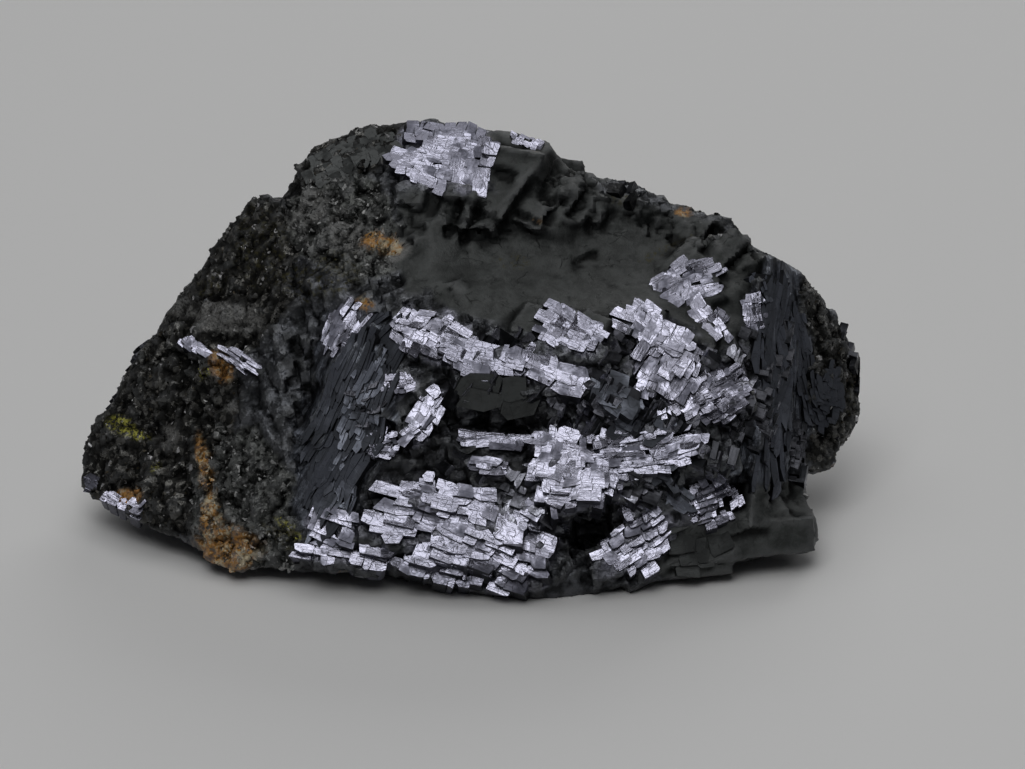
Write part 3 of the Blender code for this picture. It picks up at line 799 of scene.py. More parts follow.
def makeTileMaterial(name, finish):
    # Cleavage blocks: flat bright crowns with hairlines between cells, and sides darkened with painted shade.
    material, bench = newMaterial(name)
    lattice = bench.attribute("lattice", 1)
    crown, cell, tone = (bench.attribute(label) for label in ("crown", "cell", "tone"))
    facetScale = finish["facets"]
    stretched = bench.vector("MULTIPLY", lattice, (0.8, 1.25, 0.3))
    facets = bench.cells(stretched, facetScale, {"distance": "CHEBYCHEV"}, "Color", 0.5)
    crumbs = bench.cells(stretched, facetScale * 3.2, {"distance": "CHEBYCHEV"}, "Color", 0.6)
    hairs = bench.cells(stretched, facetScale * 1.5, {"feature": "DISTANCE_TO_EDGE"}, 0, 0.4)
    hair = (1 - bench.ease(hairs, 0.0, 0.03)) * bench.clouded(lattice, 0.9, 2.0, 0.5, 0.42, 0.55)
    cloud = bench.noise(lattice, finish["cloud"], 4.0, 0.6)
    tarnish = bench.ease(cloud + (cell - 0.5) * 0.34, finish["clean"], finish["clean"] + 0.26)
    colour = bench.mixed(tarnish, finish["colour"], finish["tarnish"])
    colour = bench.mixed(tone, finish["tarnish"], colour)
    etched = bench.clouded(stretched, 1.1, 3.0, 0.55, 0.5, 0.7)
    colour = bench.mixed(etched * 0.45, colour, finish["tarnish"])
    # contours, where one sheet of the crystal ends on the next
    swirl = bench.noise(stretched, 0.28, 2.0, 0.5) * 12.0
    swing = bench.node("ShaderNodeMath", {"operation": "PINGPONG"}, {0: swirl, 1: 0.5})
    contour = 1 - bench.ease(swing, 0.0, 0.07)
    hair = hair + contour * (1 - hair) * 0.7
    colour = bench.mixed(hair * 0.6, colour, finish["dark"])
    # the sides get painted shade: a mix of the side and dark colours
    riser = bench.mixed(bench.ease(cloud + (cell - 0.5) * 0.4, 0.3, 0.7), finish["side"], finish["dark"])
    rough = finish["rough"] + tarnish * 0.3 + (bench.noise(lattice, 3.0, 3.0) - 0.5) * 0.16
    grain = bench.noise(bench.vector("MULTIPLY", lattice, (0.25, 1.6, 1.6)), 2.6, 4.0, 0.6)
    blockLean = bench.node("ShaderNodeTexNoise", {"noise_dimensions": "1D"}, {
        "W": cell * 60.0, "Scale": 1.0, "Detail": 0.0}, "Color")
    tilt = finish["tilt"]
    normal = tiltedNormal(bench, [(facets, tilt * 0.8), (crumbs, tilt * 0.2), (blockLean, tilt * 0.9)])
    finishMaterial(bench, {
        "Base Color": bench.mixed(crown, riser, colour), "Roughness": bench.blend(crown, 0.42, rough),
        "Metallic": finish["metal"], "Normal": bench.bump(0.3, 0.15, grain - hair * 0.4, normal)})
    return material


# cleavage blocks: columns of one lattice that stand on the skin in steps

# side, and dark at the darkest: painted shade on the blocks' sides; dark also draws the hairlines and
# contours
tileFinishes = {
    "bright": dict(colour=(0.345, 0.345, 0.42), tarnish=(0.145, 0.147, 0.184), side=(0.165, 0.167, 0.206),
                   dark=(0.035, 0.036, 0.043), rough=0.23, metal=1.0, facets=0.5, cloud=0.36, clean=0.50,
                   tilt=0.32),
    "dull": dict(colour=(0.06, 0.065, 0.065), tarnish=(0.034, 0.037, 0.037), side=(0.025, 0.026, 0.026),
                 dark=(0.012, 0.013, 0.013), rough=0.42, metal=0.4, facets=0.4, cloud=0.4, clean=0.46,
                 tilt=0.08),
    "grey": dict(colour=(0.32, 0.325, 0.38), tarnish=(0.08, 0.082, 0.094), side=(0.08, 0.082, 0.094),
                 dark=(0.013, 0.014, 0.016), rough=0.28, metal=0.95, facets=0.7, cloud=0.6, clean=0.46,
                 tilt=0.34),
    "blue": dict(colour=(0.26, 0.282, 0.345), tarnish=(0.065, 0.071, 0.086), side=(0.04, 0.043, 0.052),
                 dark=(0.010, 0.011, 0.013), rough=0.34, metal=0.6, facets=0.45, cloud=0.16, clean=0.40,
                 tilt=0.3),
}

# at: middle, mm. half: half length and half width of the patch. turn: roll, lean, swing. cell: block size.
# What a patch doesn't say is as in patchHabits, and proud as in its piece.
patchHabits = dict(
    step=0.25,         # height of a step, mm
    tone=1.0,          # how bright the crowns are
    barest=-1.0,       # blocks stand only where the skin's bare value is above this
    behind=False)      # placed from behind, not from the front

brightPatches = {
    "crest": dict(at=(-4.8, 57.4), half=(5.8, 4.6), turn=(-12, 20, 0), cell=(1.8, 0.95), step=0.32, tone=0.6),
    "crestWhite": dict(at=(0.6, 56.6), half=(5.8, 2.4), turn=(78, 21, 2), cell=(2.0, 1.2), tone=0.65),
    "crestTop": dict(at=(-3.6, 60.4), half=(5.6, 1.8), turn=(-6, 30, 0), cell=(1.7, 0.9), tone=0.5),
    "crestGlint": dict(at=(7.4, 59.4), half=(2.0, 0.9), turn=(-22, 24, 0), cell=(0.7, 0.5)),
    "flake": dict(at=(28.4, 41.2), half=(4.6, 3.4), turn=(28, 18, 4), cell=(2.0, 0.8), step=0.2),
    "flakeBelow": dict(at=(31.0, 36.4), half=(3.6, 1.4), turn=(-52, 17, 0), cell=(1.2, 0.8)),
    "cornerFlake": dict(at=(36.4, 37.4), half=(3.0, 1.5), turn=(-80, 17, 4), cell=(1.1, 0.8)),
    "ridge": dict(at=(-4.4, 34.2), half=(5.6, 3.3), turn=(-26, 17, 0), cell=(1.4, 0.9), step=0.28),
    "shelfPlates": dict(at=(2.2, 31.4), half=(5.6, 2.7), turn=(-16, 20, 0), cell=(3.2, 1.5), tone=0.5),
    "shelfPlatesRight": dict(at=(10.6, 29.8), half=(5.2, 2.4), turn=(-16, 20, 0), cell=(2.8, 1.3), tone=0.75),
    "tilesMiddle": dict(at=(13.0, 35.0), half=(4.4, 3.0), turn=(-26, 17, 0), cell=(1.6, 1.0), step=0.3,
                        tone=0.6),
    "tilesHigh": dict(at=(23.4, 35.6), half=(5.0, 2.2), turn=(-28, 18, 0), cell=(1.7, 0.9), step=0.28),
    "bars": dict(at=(25.2, 30.8), half=(4.8, 4.6), turn=(62, 17, 2), cell=(2.4, 0.9)),
    "barsBelow": dict(at=(28.2, 26.2), half=(4.4, 2.2), turn=(24, 17, 0), cell=(1.6, 0.9)),
    "fleck": dict(at=(-9.0, 27.9), half=(2.0, 1.5), turn=(10, 17, 0), cell=(0.9, 0.6), step=0.22),
    "steepBar": dict(at=(-6.0, 23.6), half=(5.0, 1.5), turn=(58, 16, -4), cell=(1.3, 0.8)),
    "column": dict(at=(11.6, 16.6), half=(4.2, 6.2), turn=(-8, 18, 0), cell=(1.8, 1.3)),
    "columnRight": dict(at=(17.8, 17.8), half=(2.6, 5.0), turn=(-8, 17, 3), cell=(1.2, 1.1), tone=0.8),
    "rightMiddle": dict(at=(32.0, 27.0), half=(4.6, 3.6), turn=(32, 16, 8), cell=(1.4, 0.7), step=0.28,
                        tone=0.8),
    "rightLow": dict(at=(22.4, 19.8), half=(7.4, 3.0), turn=(8, 16, 2), cell=(2.2, 0.7), step=0.28, tone=0.8),
    "rightCorner": dict(at=(31.2, 12.8), half=(4.2, 2.8), turn=(24, 16, 4), cell=(1.4, 0.8), step=0.28),
    "footRight": dict(at=(21.2, 7.4), half=(5.4, 3.6), turn=(28, 17, 0), cell=(1.7, 1.0), step=0.28),
    "flow": dict(at=(-3.4, 10.6), half=(9.4, 5.2), turn=(-16, 17, 0), cell=(2.5, 1.15), step=0.22, tone=0.7),
    "flowLow": dict(at=(-3.0, 5.0), half=(6.4, 2.4), turn=(-16, 15, 0), cell=(1.8, 0.9), tone=0.6),
    "flowRight": dict(at=(6.6, 6.6), half=(4.4, 5.6), turn=(-20, 18, 0), cell=(2.0, 1.3), step=0.28,
                      tone=0.9),
    "platesUpper": dict(at=(-17.6, 10.2), half=(3.8, 2.0), turn=(-16, 18, -2), cell=(2.4, 1.2)),
    "platesLower": dict(at=(-18.2, 6.6), half=(3.6, 1.3), turn=(-8, 18, -2), cell=(2.4, 0.6), step=0.22),
    "platesRight": dict(at=(-12.4, 5.9), half=(2.8, 1.8), turn=(-12, 18, 0), cell=(1.8, 1.2)),
    "leftFlash": dict(at=(-35.2, 33.0), half=(2.8, 1.0), turn=(-34, 15, -4), cell=(1.4, 0.5), step=0.2,
                      proud=0.4, tone=0.8),
    "leftFlashRight": dict(at=(-29.8, 31.2), half=(2.8, 1.1), turn=(-32, 15, -2), cell=(2.0, 0.4),
                           step=0.22, proud=0.4, tone=0.6),
    "tip": dict(at=(-44.8, 12.6), half=(4.2, 1.6), turn=(-28, 17, -2), cell=(1.4, 0.8), step=0.22, proud=0.5),
    "tipBlock": dict(at=(-49.4, 15.8), half=(1.8, 1.4), turn=(-20, 3, -10), cell=(1.4, 0.9), step=0.3,
                     tone=0.3, proud=0.4),
    "fibreTop": dict(at=(-16.2, 35.4), half=(3.6, 2.6), turn=(62, 12, -10), cell=(1.9, 0.5), tone=0.7),
    "between": dict(at=(4.5, 21.0), half=(5.4, 1.2), turn=(-4, 15, 0), cell=(1.8, 0.6), tone=0.7),
    "glints": dict(at=(-11.6, 21.0), half=(2.4, 2.0), turn=(-20, 16, 0), cell=(0.7, 0.5), tone=0.7),
    "gapPlates": dict(at=(2.2, 17.6), half=(3.6, 1.2), turn=(-14, 17, 0), cell=(1.6, 0.6), step=0.22,
                      tone=0.8),
}

dullPatches = {
    "recessBack": dict(at=(4.0, 26.4), half=(5.5, 2.2), turn=(-6, -10, 0), cell=(4.6, 2.4), step=0.3,
                       proud=0.3),
    "greySteps": dict(at=(28.6, 7.6), half=(4.8, 2.6), turn=(6, 6, 6), cell=(2.6, 1.5), step=0.5, proud=0.0),
    "rearCrest": dict(at=(-15.6, 57.0), half=(6.4, 3.4), turn=(30, 22, -10), cell=(1.1, 0.8), step=0.4,
                      proud=0.0),
}

bluePatches = {
    "fibres": dict(at=(-15.2, 24.4), half=(12.0, 4.8), turn=(64, 6, -26), cell=(4.0, 0.42), step=0.08,
                   tone=0.35),
    "fibresLight": dict(at=(-13.6, 25.4), half=(7.5, 2.4), turn=(66, 13, -20), cell=(2.6, 0.4), step=0.12,
                        proud=0.4),
    "fibresLow": dict(at=(-18.0, 14.0), half=(5.0, 3.4), turn=(70, 10, -18), cell=(3.0, 0.4), step=0.08,
                      tone=0.7),
    "sheets": dict(at=(39.2, 29.4), half=(14.0, 3.6), turn=(82, 6, 36), cell=(5.0, 0.45), step=0.12,
                   tone=0.4),
    "sheetsOuter": dict(at=(42.6, 31.0), half=(8.0, 1.5), turn=(100, 2, 34), cell=(2.4, 0.4), step=0.12,
                        tone=0.3),
    "sheetsTop": dict(at=(38.2, 40.4), half=(2.8, 2.0), turn=(-60, 14, 26), cell=(1.0, 0.5), step=0.2,
                      tone=0.7),
    "lobe": dict(at=(46.2, 27.0), half=(5.0, 1.8), turn=(78, 0, 28), cell=(1.2, 0.5), step=0.2, tone=0.1),
    "frontShade": dict(at=(20.6, 24.6), half=(6.0, 3.0), turn=(-20, 8, 4), cell=(2.4, 1.0), step=0.3,
                       tone=0.6),
    "lowShade": dict(at=(26.4, 14.4), half=(5.0, 2.4), turn=(-38, 12, 6), cell=(3.6, 0.8), step=0.3,
                     tone=0.6),
}

backPatches = {
    "high": dict(at=(6.0, 38.0), half=(8.0, 4.0), turn=(24, 14, 6), cell=(2.4, 1.2), step=0.3, behind=True),
    "middle": dict(at=(-14.0, 22.0), half=(9.0, 4.2), turn=(-14, 16, -8), cell=(2.0, 1.1), step=0.3,
                   behind=True),
    "low": dict(at=(16.0, 14.0), half=(7.0, 3.6), turn=(34, 20, 4), cell=(1.8, 0.9), behind=True),
    "left": dict(at=(-30.0, 30.0), half=(5.4, 3.4), turn=(60, 8, -20), cell=(1.6, 0.8), behind=True),
}


def addHull(shelf, name, points, merged=None):
    # The convex hull of some points, as one more shape on the shelf.
    shape = bmesh.new()
    hull = bmesh.ops.convex_hull(shape, input=[shape.verts.new(point) for point in points])
    loose = {v for v in hull["geom_interior"] + hull["geom_unused"] if isinstance(v, bmesh.types.BMVert)}
    bmesh.ops.delete(shape, geom=list(loose), context="VERTS")
    if merged:
        bmesh.ops.remove_doubles(shape, verts=shape.verts, dist=merged)
    bmesh.ops.recalc_face_normals(shape, faces=shape.faces)
    mesh = bpy.data.meshes.new(name)
    shape.to_mesh(mesh)
    shape.free()
    shelf.objects.link(bpy.data.objects.new(name, mesh))


def chippedBlocks(number, seed):
    # A few unit blocks with cut corners and uneven edges. Their crowns stay flat, and lean a little.
    draw = random.Random(seed)
    shelf = bpy.data.collections.new("chippedBlocks")
    for index in range(number):
        points = []
        tip = draw.gauss(0, 0.016)
        roll = draw.gauss(0, 0.012)
        for side, front in ((-1, -1), (1, -1), (1, 1), (-1, 1)):
            cutLong = draw.choice((0, 0.1, 0.2, 0.38)) * draw.uniform(0.6, 1.2)
            cutWide = draw.choice((0, 0.1, 0.2, 0.4)) * draw.uniform(0.6, 1.2)
            farLong = 0.5 + draw.uniform(-0.1, 0.1)
            farWide = 0.5 + draw.uniform(-0.12, 0.1)
            for x, y in ((farLong - cutLong, farWide), (farLong, farWide - cutWide)):
                x, y = x * side, y * front
                points.append((x, y, 0.5 + tip * x + roll * y))
                points.append((x * 1.05, y * 1.05, -0.5))
        addHull(shelf, f"chippedBlock{index}", points, 0.001)
    return shelf


def newTree(name, inputs):
    tree = bpy.data.node_groups.new(name, "GeometryNodeTree")
    tree.interface.new_socket("Geometry", in_out="INPUT", socket_type="NodeSocketGeometry")
    tree.interface.new_socket("Geometry", in_out="OUTPUT", socket_type="NodeSocketGeometry")
    for label, kind in inputs:
        tree.interface.new_socket(label, in_out="INPUT", socket_type="NodeSocket" + kind)
    bench = Bench(tree)
    start = tree.nodes.new("NodeGroupInput")
    given = {socket.name: Wire(bench, socket) for socket in start.outputs if socket.name}
    return tree, bench, given


def finishTree(bench, geometry, material):
    real = bench.node("GeometryNodeRealizeInstances", {}, {0: geometry})
    painted = bench.node("GeometryNodeSetMaterial", {}, {"Geometry": real, "Material": material})
    bench.node("NodeGroupOutput", {}, {"Geometry": painted})


# how the blocks of a terrace differ, as shares of a block or of all blocks where no unit is given
blockHabits = {
    "cut": 0.8,               # how far the cuts between blocks wander
    "overlap": 1.5,           # width of a row, against the way to the next
    "shift": 0.5,             # how far a row is pushed along
    "cracked": (0.45, 0.35),  # blocks without a crack at their end, and at their side
    "into": 0.01,             # those run into each other by this, mm
    "drift": 1.2,             # how far the steps' edges wander, in steps
    "lower": (0.1, 0.6),      # blocks that lie lower, and by how many steps
    "uneven": 0.1,            # crowns differ by up to this, mm
    "missing": 0.03,
    "facing": 0.25,           # blocks stand only where the body looks their way at least this much
    "ends": (-0.45, 0.45),    # where along a block its stand-off is measured
    "twist": 0.5,
}


def bodyOf(bench, given):
    # The mesh of the object that a tree is given as its body.
    return bench.node(
        "GeometryNodeObjectInfo", {"transform_space": "ORIGINAL"}, {"Object": given["Body"]}, "Geometry")


def terraceTree():
    tree, bench, given = newTree("cleavageTerrace", [
        ("Body", "Object"), ("Blocks", "Collection"), ("Origin", "Vector"), ("Turn", "Vector"),
        ("Half Long", "Float"), ("Half Wide", "Float"), ("Cell Long", "Float"), ("Cell Wide", "Float"),
        ("Flatten", "Float"), ("Step", "Float"), ("Crack", "Float"), ("Proud", "Float"), ("Depth", "Float"),
        ("Ragged", "Float"), ("Reach", "Float"), ("Stand Off", "Float"), ("Barest", "Float"),
        ("Seed", "Float"), ("Material", "Material")])
    node = bench.node
    habits = blockHabits

    def maths(operation, first, second=0.0):
        return node("ShaderNodeMath", {"operation": operation}, {0: first, 1: second})

    def whole(value):
        return maths("FLOOR", value)

    def joined(x, y, z):
        return node("ShaderNodeCombineXYZ", {}, {0: x, 1: y, 2: z})

    def chance(x, y, salt):
        where = joined(x, y, given["Seed"] + salt)
        return node("ShaderNodeTexWhiteNoise", {"noise_dimensions": "3D"}, {"Vector": where})

    # rows of blocks with their own cuts, like masonry
    longCount = whole(given["Half Long"] * 2 / given["Cell Long"]) + 2
    wideCount = whole(given["Half Wide"] * 2 / given["Cell Wide"]) + 2
    places = node("GeometryNodePoints", {}, {"Count": longCount * wideCount})
    index = node("GeometryNodeInputIndex")
    row = whole((index + 0.5) / longCount)
    step = index - row * longCount
    startLong = step + chance(step, row, 0.1) * habits["cut"]
    endLong = step + 1 + chance(step + 1, row, 0.1) * habits["cut"]
    run = whole(step / 3 + chance(row, 7.5, 1.7))
    startWide = row + chance(row, run, 0.2) * habits["cut"]
    endWide = row + habits["overlap"] + chance(row + 1, run, 0.2) * habits["cut"]
    pushed = chance(row, 0.2, 0.3) * habits["shift"]
    long = ((startLong + endLong) / 2 - longCount / 2 + pushed) * given["Cell Long"]
    wide = ((startWide + endWide) / 2 - wideCount / 2) * given["Cell Wide"]
    endless, sideless = habits["cracked"]
    crackLong = (chance(step, row, 0.9) > endless) * given["Crack"] - habits["into"] * mm
    crackWide = (chance(row, 3.5, 1.1) > sideless) * given["Crack"] - habits["into"] * mm
    blockLong = (endLong - startLong) * given["Cell Long"] - crackLong
    blockWide = (endWide - startWide) * given["Cell Wide"] - crackWide

    # down on to the body along the lattice
    turn = node("FunctionNodeEulerToRotation", {}, {0: given["Turn"]})

    def rotated(vector):
        return node("FunctionNodeRotateVector", {}, {0: vector, 1: turn})

    outward = rotated((0.0, 0.0, 1.0))
    spot = bench.vector("ADD", given["Origin"], rotated(joined(long, wide, 0.0)))

    def raised(amount):
        return bench.vector("ADD", spot, bench.scaled(outward, amount))

    body = bodyOf(bench, given)
    bare = node("GeometryNodeInputNamedAttribute", {"data_type": "FLOAT"}, {"Name": "bare"})
    ray = node("GeometryNodeRaycast", {}, {
        "Target Geometry": body, "Attribute": bare, "Source Position": raised(given["Reach"]),
        "Ray Direction": bench.scaled(outward, -1.0), "Ray Length": given["Reach"] * 2}, "Is Hit")
    height = given["Reach"] - ray.other("Hit Distance")
    facing = bench.vector("DOT_PRODUCT", ray.other("Hit Normal"), outward, out=1)

    # crowns gather on steps, with a few a step lower, and build a hollow up toward one plane
    height = height + maths("MAXIMUM", height * -1, 0.0) * given["Flatten"]
    where = bench.scaled(joined(long, wide, given["Seed"] * mm), 1000.0)
    levels = whole(height / given["Step"] + bench.noise(where, 0.35, 2.0) * habits["drift"])
    lowered, by = habits["lower"]
    lower = (chance(step, row, 0.4) < lowered) * by
    crown = (levels - lower) * given["Step"] + given["Proud"]
    crown = crown + chance(step, row, 0.5) * habits["uneven"] * mm
    radius = (long / given["Half Long"]) ** 2.0 + (wide / given["Half Wide"]) ** 2.0
    kept = radius + (bench.noise(where, 0.4, 3.0) - 0.5) * given["Ragged"] < 1.0
    kept = kept * (facing > habits["facing"]) * (chance(step, row, 0.6) > habits["missing"])
    kept = kept * ray * (ray.other("Attribute") > given["Barest"])
    # a block that would reach out into the air is left out
    for end in habits["ends"]:
        tip = bench.vector("ADD", raised(crown), rotated(joined(blockLong * end, 0.0, 0.0)))
        apart = node("GeometryNodeProximity", {}, {0: body, 2: tip}, "Distance")
        kept = kept * (apart < given["Stand Off"])
    moved = node("GeometryNodeSetPosition", {}, {
        "Geometry": places, "Position": raised(crown - given["Depth"] / 2)})
    named = node("GeometryNodeStoreNamedAttribute", {"data_type": "FLOAT", "domain": "POINT"}, {
        "Geometry": moved, "Name": "cell", "Value": chance(step, row, 0.7)})
    blocks = node("GeometryNodeCollectionInfo", {}, {
        "Collection": given["Blocks"], "Separate Children": True, "Reset Children": True})
    skew = (chance(step, row, 1.3) - 0.5) * habits["twist"] * given["Cell Wide"] / given["Cell Long"]
    twist = node("FunctionNodeAxisAngleToRotation", {}, {"Axis": (0.0, 0.0, 1.0), "Angle": skew})
    twisted = node("FunctionNodeRotateRotation", {"rotation_space": "LOCAL"}, {0: turn, 1: twist})
    placedBlocks = node("GeometryNodeInstanceOnPoints", {}, {
        "Points": named, "Selection": kept > 0.5, "Instance": blocks, "Pick Instance": True,
        "Instance Index": maths("MULTIPLY", chance(step, row, 0.8), 97.0),
        "Rotation": twisted, "Scale": joined(blockLong, blockWide, given["Depth"])})
    finishTree(bench, placedBlocks, given["Material"])
    return tree


def socketName(tree, label):
    return next(item.identifier for item in tree.interface.items_tree
                if item.name == label and item.in_out == "INPUT")


def grown(carrier, tree, values, name):
    # The tree's result on a carrier mesh, as a plain mesh.
    holder = freshObject(name, carrier)
    growth = holder.modifiers.new("growth", "NODES")
    growth.node_group = tree
    for label, value in values.items():
        growth[socketName(tree, label)] = value
    mesh = evaluatedMesh(holder, name)
    bpy.data.objects.remove(holder, do_unlink=True)
    return mesh


def floatsOf(mesh, name):
    values = np.empty(len(mesh.vertices), np.float32)
    mesh.attributes[name].data.foreach_get("value", values)
    return values


def gathered(name, grownPatches, material):
    # The patches as one mesh. Each comes with its places in the lattice and with what of it is crown.
    meshes, lattices, crowns = zip(*grownPatches)
    points = np.concatenate([coordinates(mesh) for mesh in meshes])
    corners, starts = [], []
    vertexCount = cornerCount = 0
    for mesh in meshes:
        corners.append(wholesOf(mesh.loops, "vertex_index") + vertexCount)
        starts.append(wholesOf(mesh.polygons, "loop_start") + cornerCount)
        vertexCount += len(mesh.vertices)
        cornerCount += len(mesh.loops)
    starts = np.concatenate(starts)
    made = bpy.data.meshes.new(name)
    made.vertices.add(vertexCount)
    made.vertices.foreach_set("co", points.ravel())
    made.loops.add(cornerCount)
    made.loops.foreach_set("vertex_index", np.concatenate(corners))
    made.polygons.add(len(starts))
    made.polygons.foreach_set("loop_start", starts)
    made.polygons.foreach_set("use_smooth", np.zeros(len(starts), bool))
    made.update(calc_edges=True)
    for key in ("cell", "tone"):
        setFloats(made, key, np.concatenate([floatsOf(mesh, key) for mesh in meshes]))
    setFloats(made, "crown", np.concatenate(crowns), "FACE")
    setVectors(made, "lattice", np.concatenate(lattices))
    made.materials.append(material)
    return made


def onSkin(tree, right, up):
    # Where the line of sight through this place meets the skin.
    eye = placed(*picture["centre"], picture["away"] / mm * 0.98)
    aim = placed(right, up, 0.0) - eye
    hit = tree.ray_cast(eye, aim.normalized())[0]
    return hit


def behindSkin(tree, right, high):
    # The same, level from behind: mm right of the middle as seen from there, and height.
    return tree.ray_cast(Vector((-right * mm, 0.3, high * mm)), Vector((0, -1, 0)))[0]


wandering = {
    "patches": 150,
    "crystals": 9,
    "seed": 7,
    "half": ((2.6, 5.4), (1.8, 3.8)),      # smallest and largest, mm
    "cell": ((1.2, 2.6), (0.7, 1.3)),
    "step": (0.18, 0.3),
    "barest": 0.92,
    "above": 7,                            # lowest place of a patch's middle, mm
    "front": (-16, 33),                    # in front, only right of the first and below the second, mm
}


def wanderingPatches():
    # Patches all over, each on the face of its own crystal that looks out most.
    draw = random.Random(wandering["seed"])
    crystals = []
    for _ in range(wandering["crystals"]):
        middle = np.array([draw.uniform(low, high) for low, high in zip(*solidBox)])
        lean = Euler((draw.uniform(-0.5, 0.5), draw.uniform(-0.5, 0.5), draw.uniform(0, 3)))
        crystals.append((middle, np.array(turned(*skinSizes["turn"])) @ np.array(lean.to_matrix())))
    points = coordinates(skinMesh)
    faces = normals(skinMesh)
    bare = 1 - np.max([skinMasks[zone] for zone in ("dull", "granular", "quartz", "hollow")], axis=0)
    seen = pictured(points)
    turnedAway = faces @ pictureAxes[2] < -0.35
    thin = blobs(points, 3 * mm, 31) > 0.25
    left, top = wandering["front"]
    allowed = (bare > 0.9) & (points[:, 2] > wandering["above"] * mm)
    allowed &= (faces[:, 2] > -0.3) & (turnedAway | thin)
    allowed &=(seen[:, 0] > left) & (seen[:, 1] < top) | turnedAway
    number = wandering["patches"]
    picked = [index for index in draw.sample(range(len(points)), number * 12) if allowed[index]][:number]
    patches = {}
    for index in picked:
        lattice = min(crystals, key=lambda crystal: np.linalg.norm(crystal[0] - points[index]))[1]
        match = lattice.T @ faces[index]
        which = int(np.argmax(np.abs(match)))
        out = lattice[:, which] * np.sign(match[which])
        long = lattice[:, (which + 1) % 3]
        axes = Matrix(np.column_stack([long, np.cross(out, long), out]).tolist())
        patches[f"wandering{index}"] = dict(
            hit=Vector(points[index]), axes=axes,
            half=tuple(draw.uniform(*ends) for ends in wandering["half"]),
            cell=tuple(draw.uniform(*ends) for ends in wandering["cell"]),
            step=draw.uniform(*wandering["step"]), barest=wandering["barest"])
    return patches


def markBright(skin):
    # The skin shines under the bright patches too, and shows between their blocks. There it isn't bare.
    points = coordinates(skin)
    seen = pictured(points)
    fray = blobs(points, 1.3 * mm, 33) * 0.4
    held = []
    for patch in brightPatches.values():
        half = tuple(0.9 * value for value in patch["half"])
        spot = dict(at=patch["at"], half=half, turn=patch["turn"][0])
        held.append(insideSpot(seen, spot, fray) * patch.get("tone", 1.0))
    bright = np.max(held, axis=0) * eased(normals(skin) @ pictureAxes[2], 0.0, 0.25)
    setFloats(skin, "bright", bright)
    taken = [skinMasks[zone] for zone in ("dull", "granular", "quartz")]
    setFloats(skin, "bare", 1 - np.max([*taken, bright], axis=0))


# what every terrace shares
terraceSizes = {
    "crack": 0.05,                # gap between blocks, mm
    "reach": 6.0,                 # how far above its middle plane a patch looks for the body, mm
    "standOff": (0.8, 1.6),       # how far a block's ends may be off the body, mm, and more by how proud
    "ragged": 1.9,                # how much noise frays a patch's outline
    "flatEnough": 0.9,            # faces that look out this much are crowns
    "bends": ((5, 41), (4, 42)),  # along and across: width of the rows' bends, mm, and a seed
}


def cleavagePiece(name, kind):
    material = makeTileMaterial(name, tileFinishes[kind["finish"]])
    least, more = terraceSizes["standOff"]
    made = []
    for number, (label, told) in enumerate(kind["patches"].items()):
        patch = {**patchHabits, "proud": kind["proud"], **told}
        find = behindSkin if patch["behind"] else onSkin
        hit = patch["hit"] if "hit" in patch else find(skinTree, *patch["at"])
        if hit is None:
            print("no skin under", label)
            continue
        axes = patch["axes"] if "axes" in patch else turned(*patch["turn"], patch["behind"])
        sizes = {
            "Half Long": patch["half"][0], "Half Wide": patch["half"][1], "Cell Long": patch["cell"][0],
            "Cell Wide": patch["cell"][1], "Step": patch["step"], "Proud": patch["proud"],
            "Depth": kind["depth"], "Crack": terraceSizes["crack"], "Reach": terraceSizes["reach"],
            "Stand Off": least + more * kind["proud"]}
        mesh = grown(bpy.data.meshes.new(label), terraces, {
            **{size: value * mm for size, value in sizes.items()},
            "Body": kind["ground"], "Blocks": blockShelf, "Origin": hit, "Turn": axes.to_euler(),
            "Flatten": kind["flatten"], "Ragged": terraceSizes["ragged"], "Barest": patch["barest"],
            "Seed": float(number + 1), "Material": material}, label)
        if not len(mesh.polygons):
            print("nothing grew on", label)
            continue
        points = coordinates(mesh)
        lattice = (points - np.array(hit)) @ np.array(axes) / mm + number * 31.7
        crown = vectorsOf(mesh.polygons, "normal") @ np.array(axes.col[2]) > terraceSizes["flatEnough"]
        # the rows bend within their own plane, so the crowns keep their way of looking
        sway = sum(
            np.outer(blobs(points, width * mm, seed), axes.col[axis])
            for axis, (width, seed) in enumerate(terraceSizes["bends"]))
        mesh.vertices.foreach_set("co", (points + sway * kind["bend"] * mm).ravel())
        setFloats(mesh, "tone", np.full(len(points), patch["tone"]))
        made.append((mesh, lattice, crown.astype(np.float32)))
    whole = gathered(name, made, material)
    setCoordinates(whole, coordinates(whole))
    piece = freshObject(name, whole)
    whole.calc_loop_triangles()
    print(name + ":", len(whole.loop_triangles), "triangles in", len(made), "patches")
    return piece


markBright(skinMesh)
skinMesh.materials.append(makeOreMaterial())
skinTree = BVHTree.FromObject(oreSkin, bpy.context.evaluated_depsgraph_get())
blockShelf = chippedBlocks(number=14, seed=5)
terraces = terraceTree()
smoothBody = freshObject("smoothBody", smoothMesh)

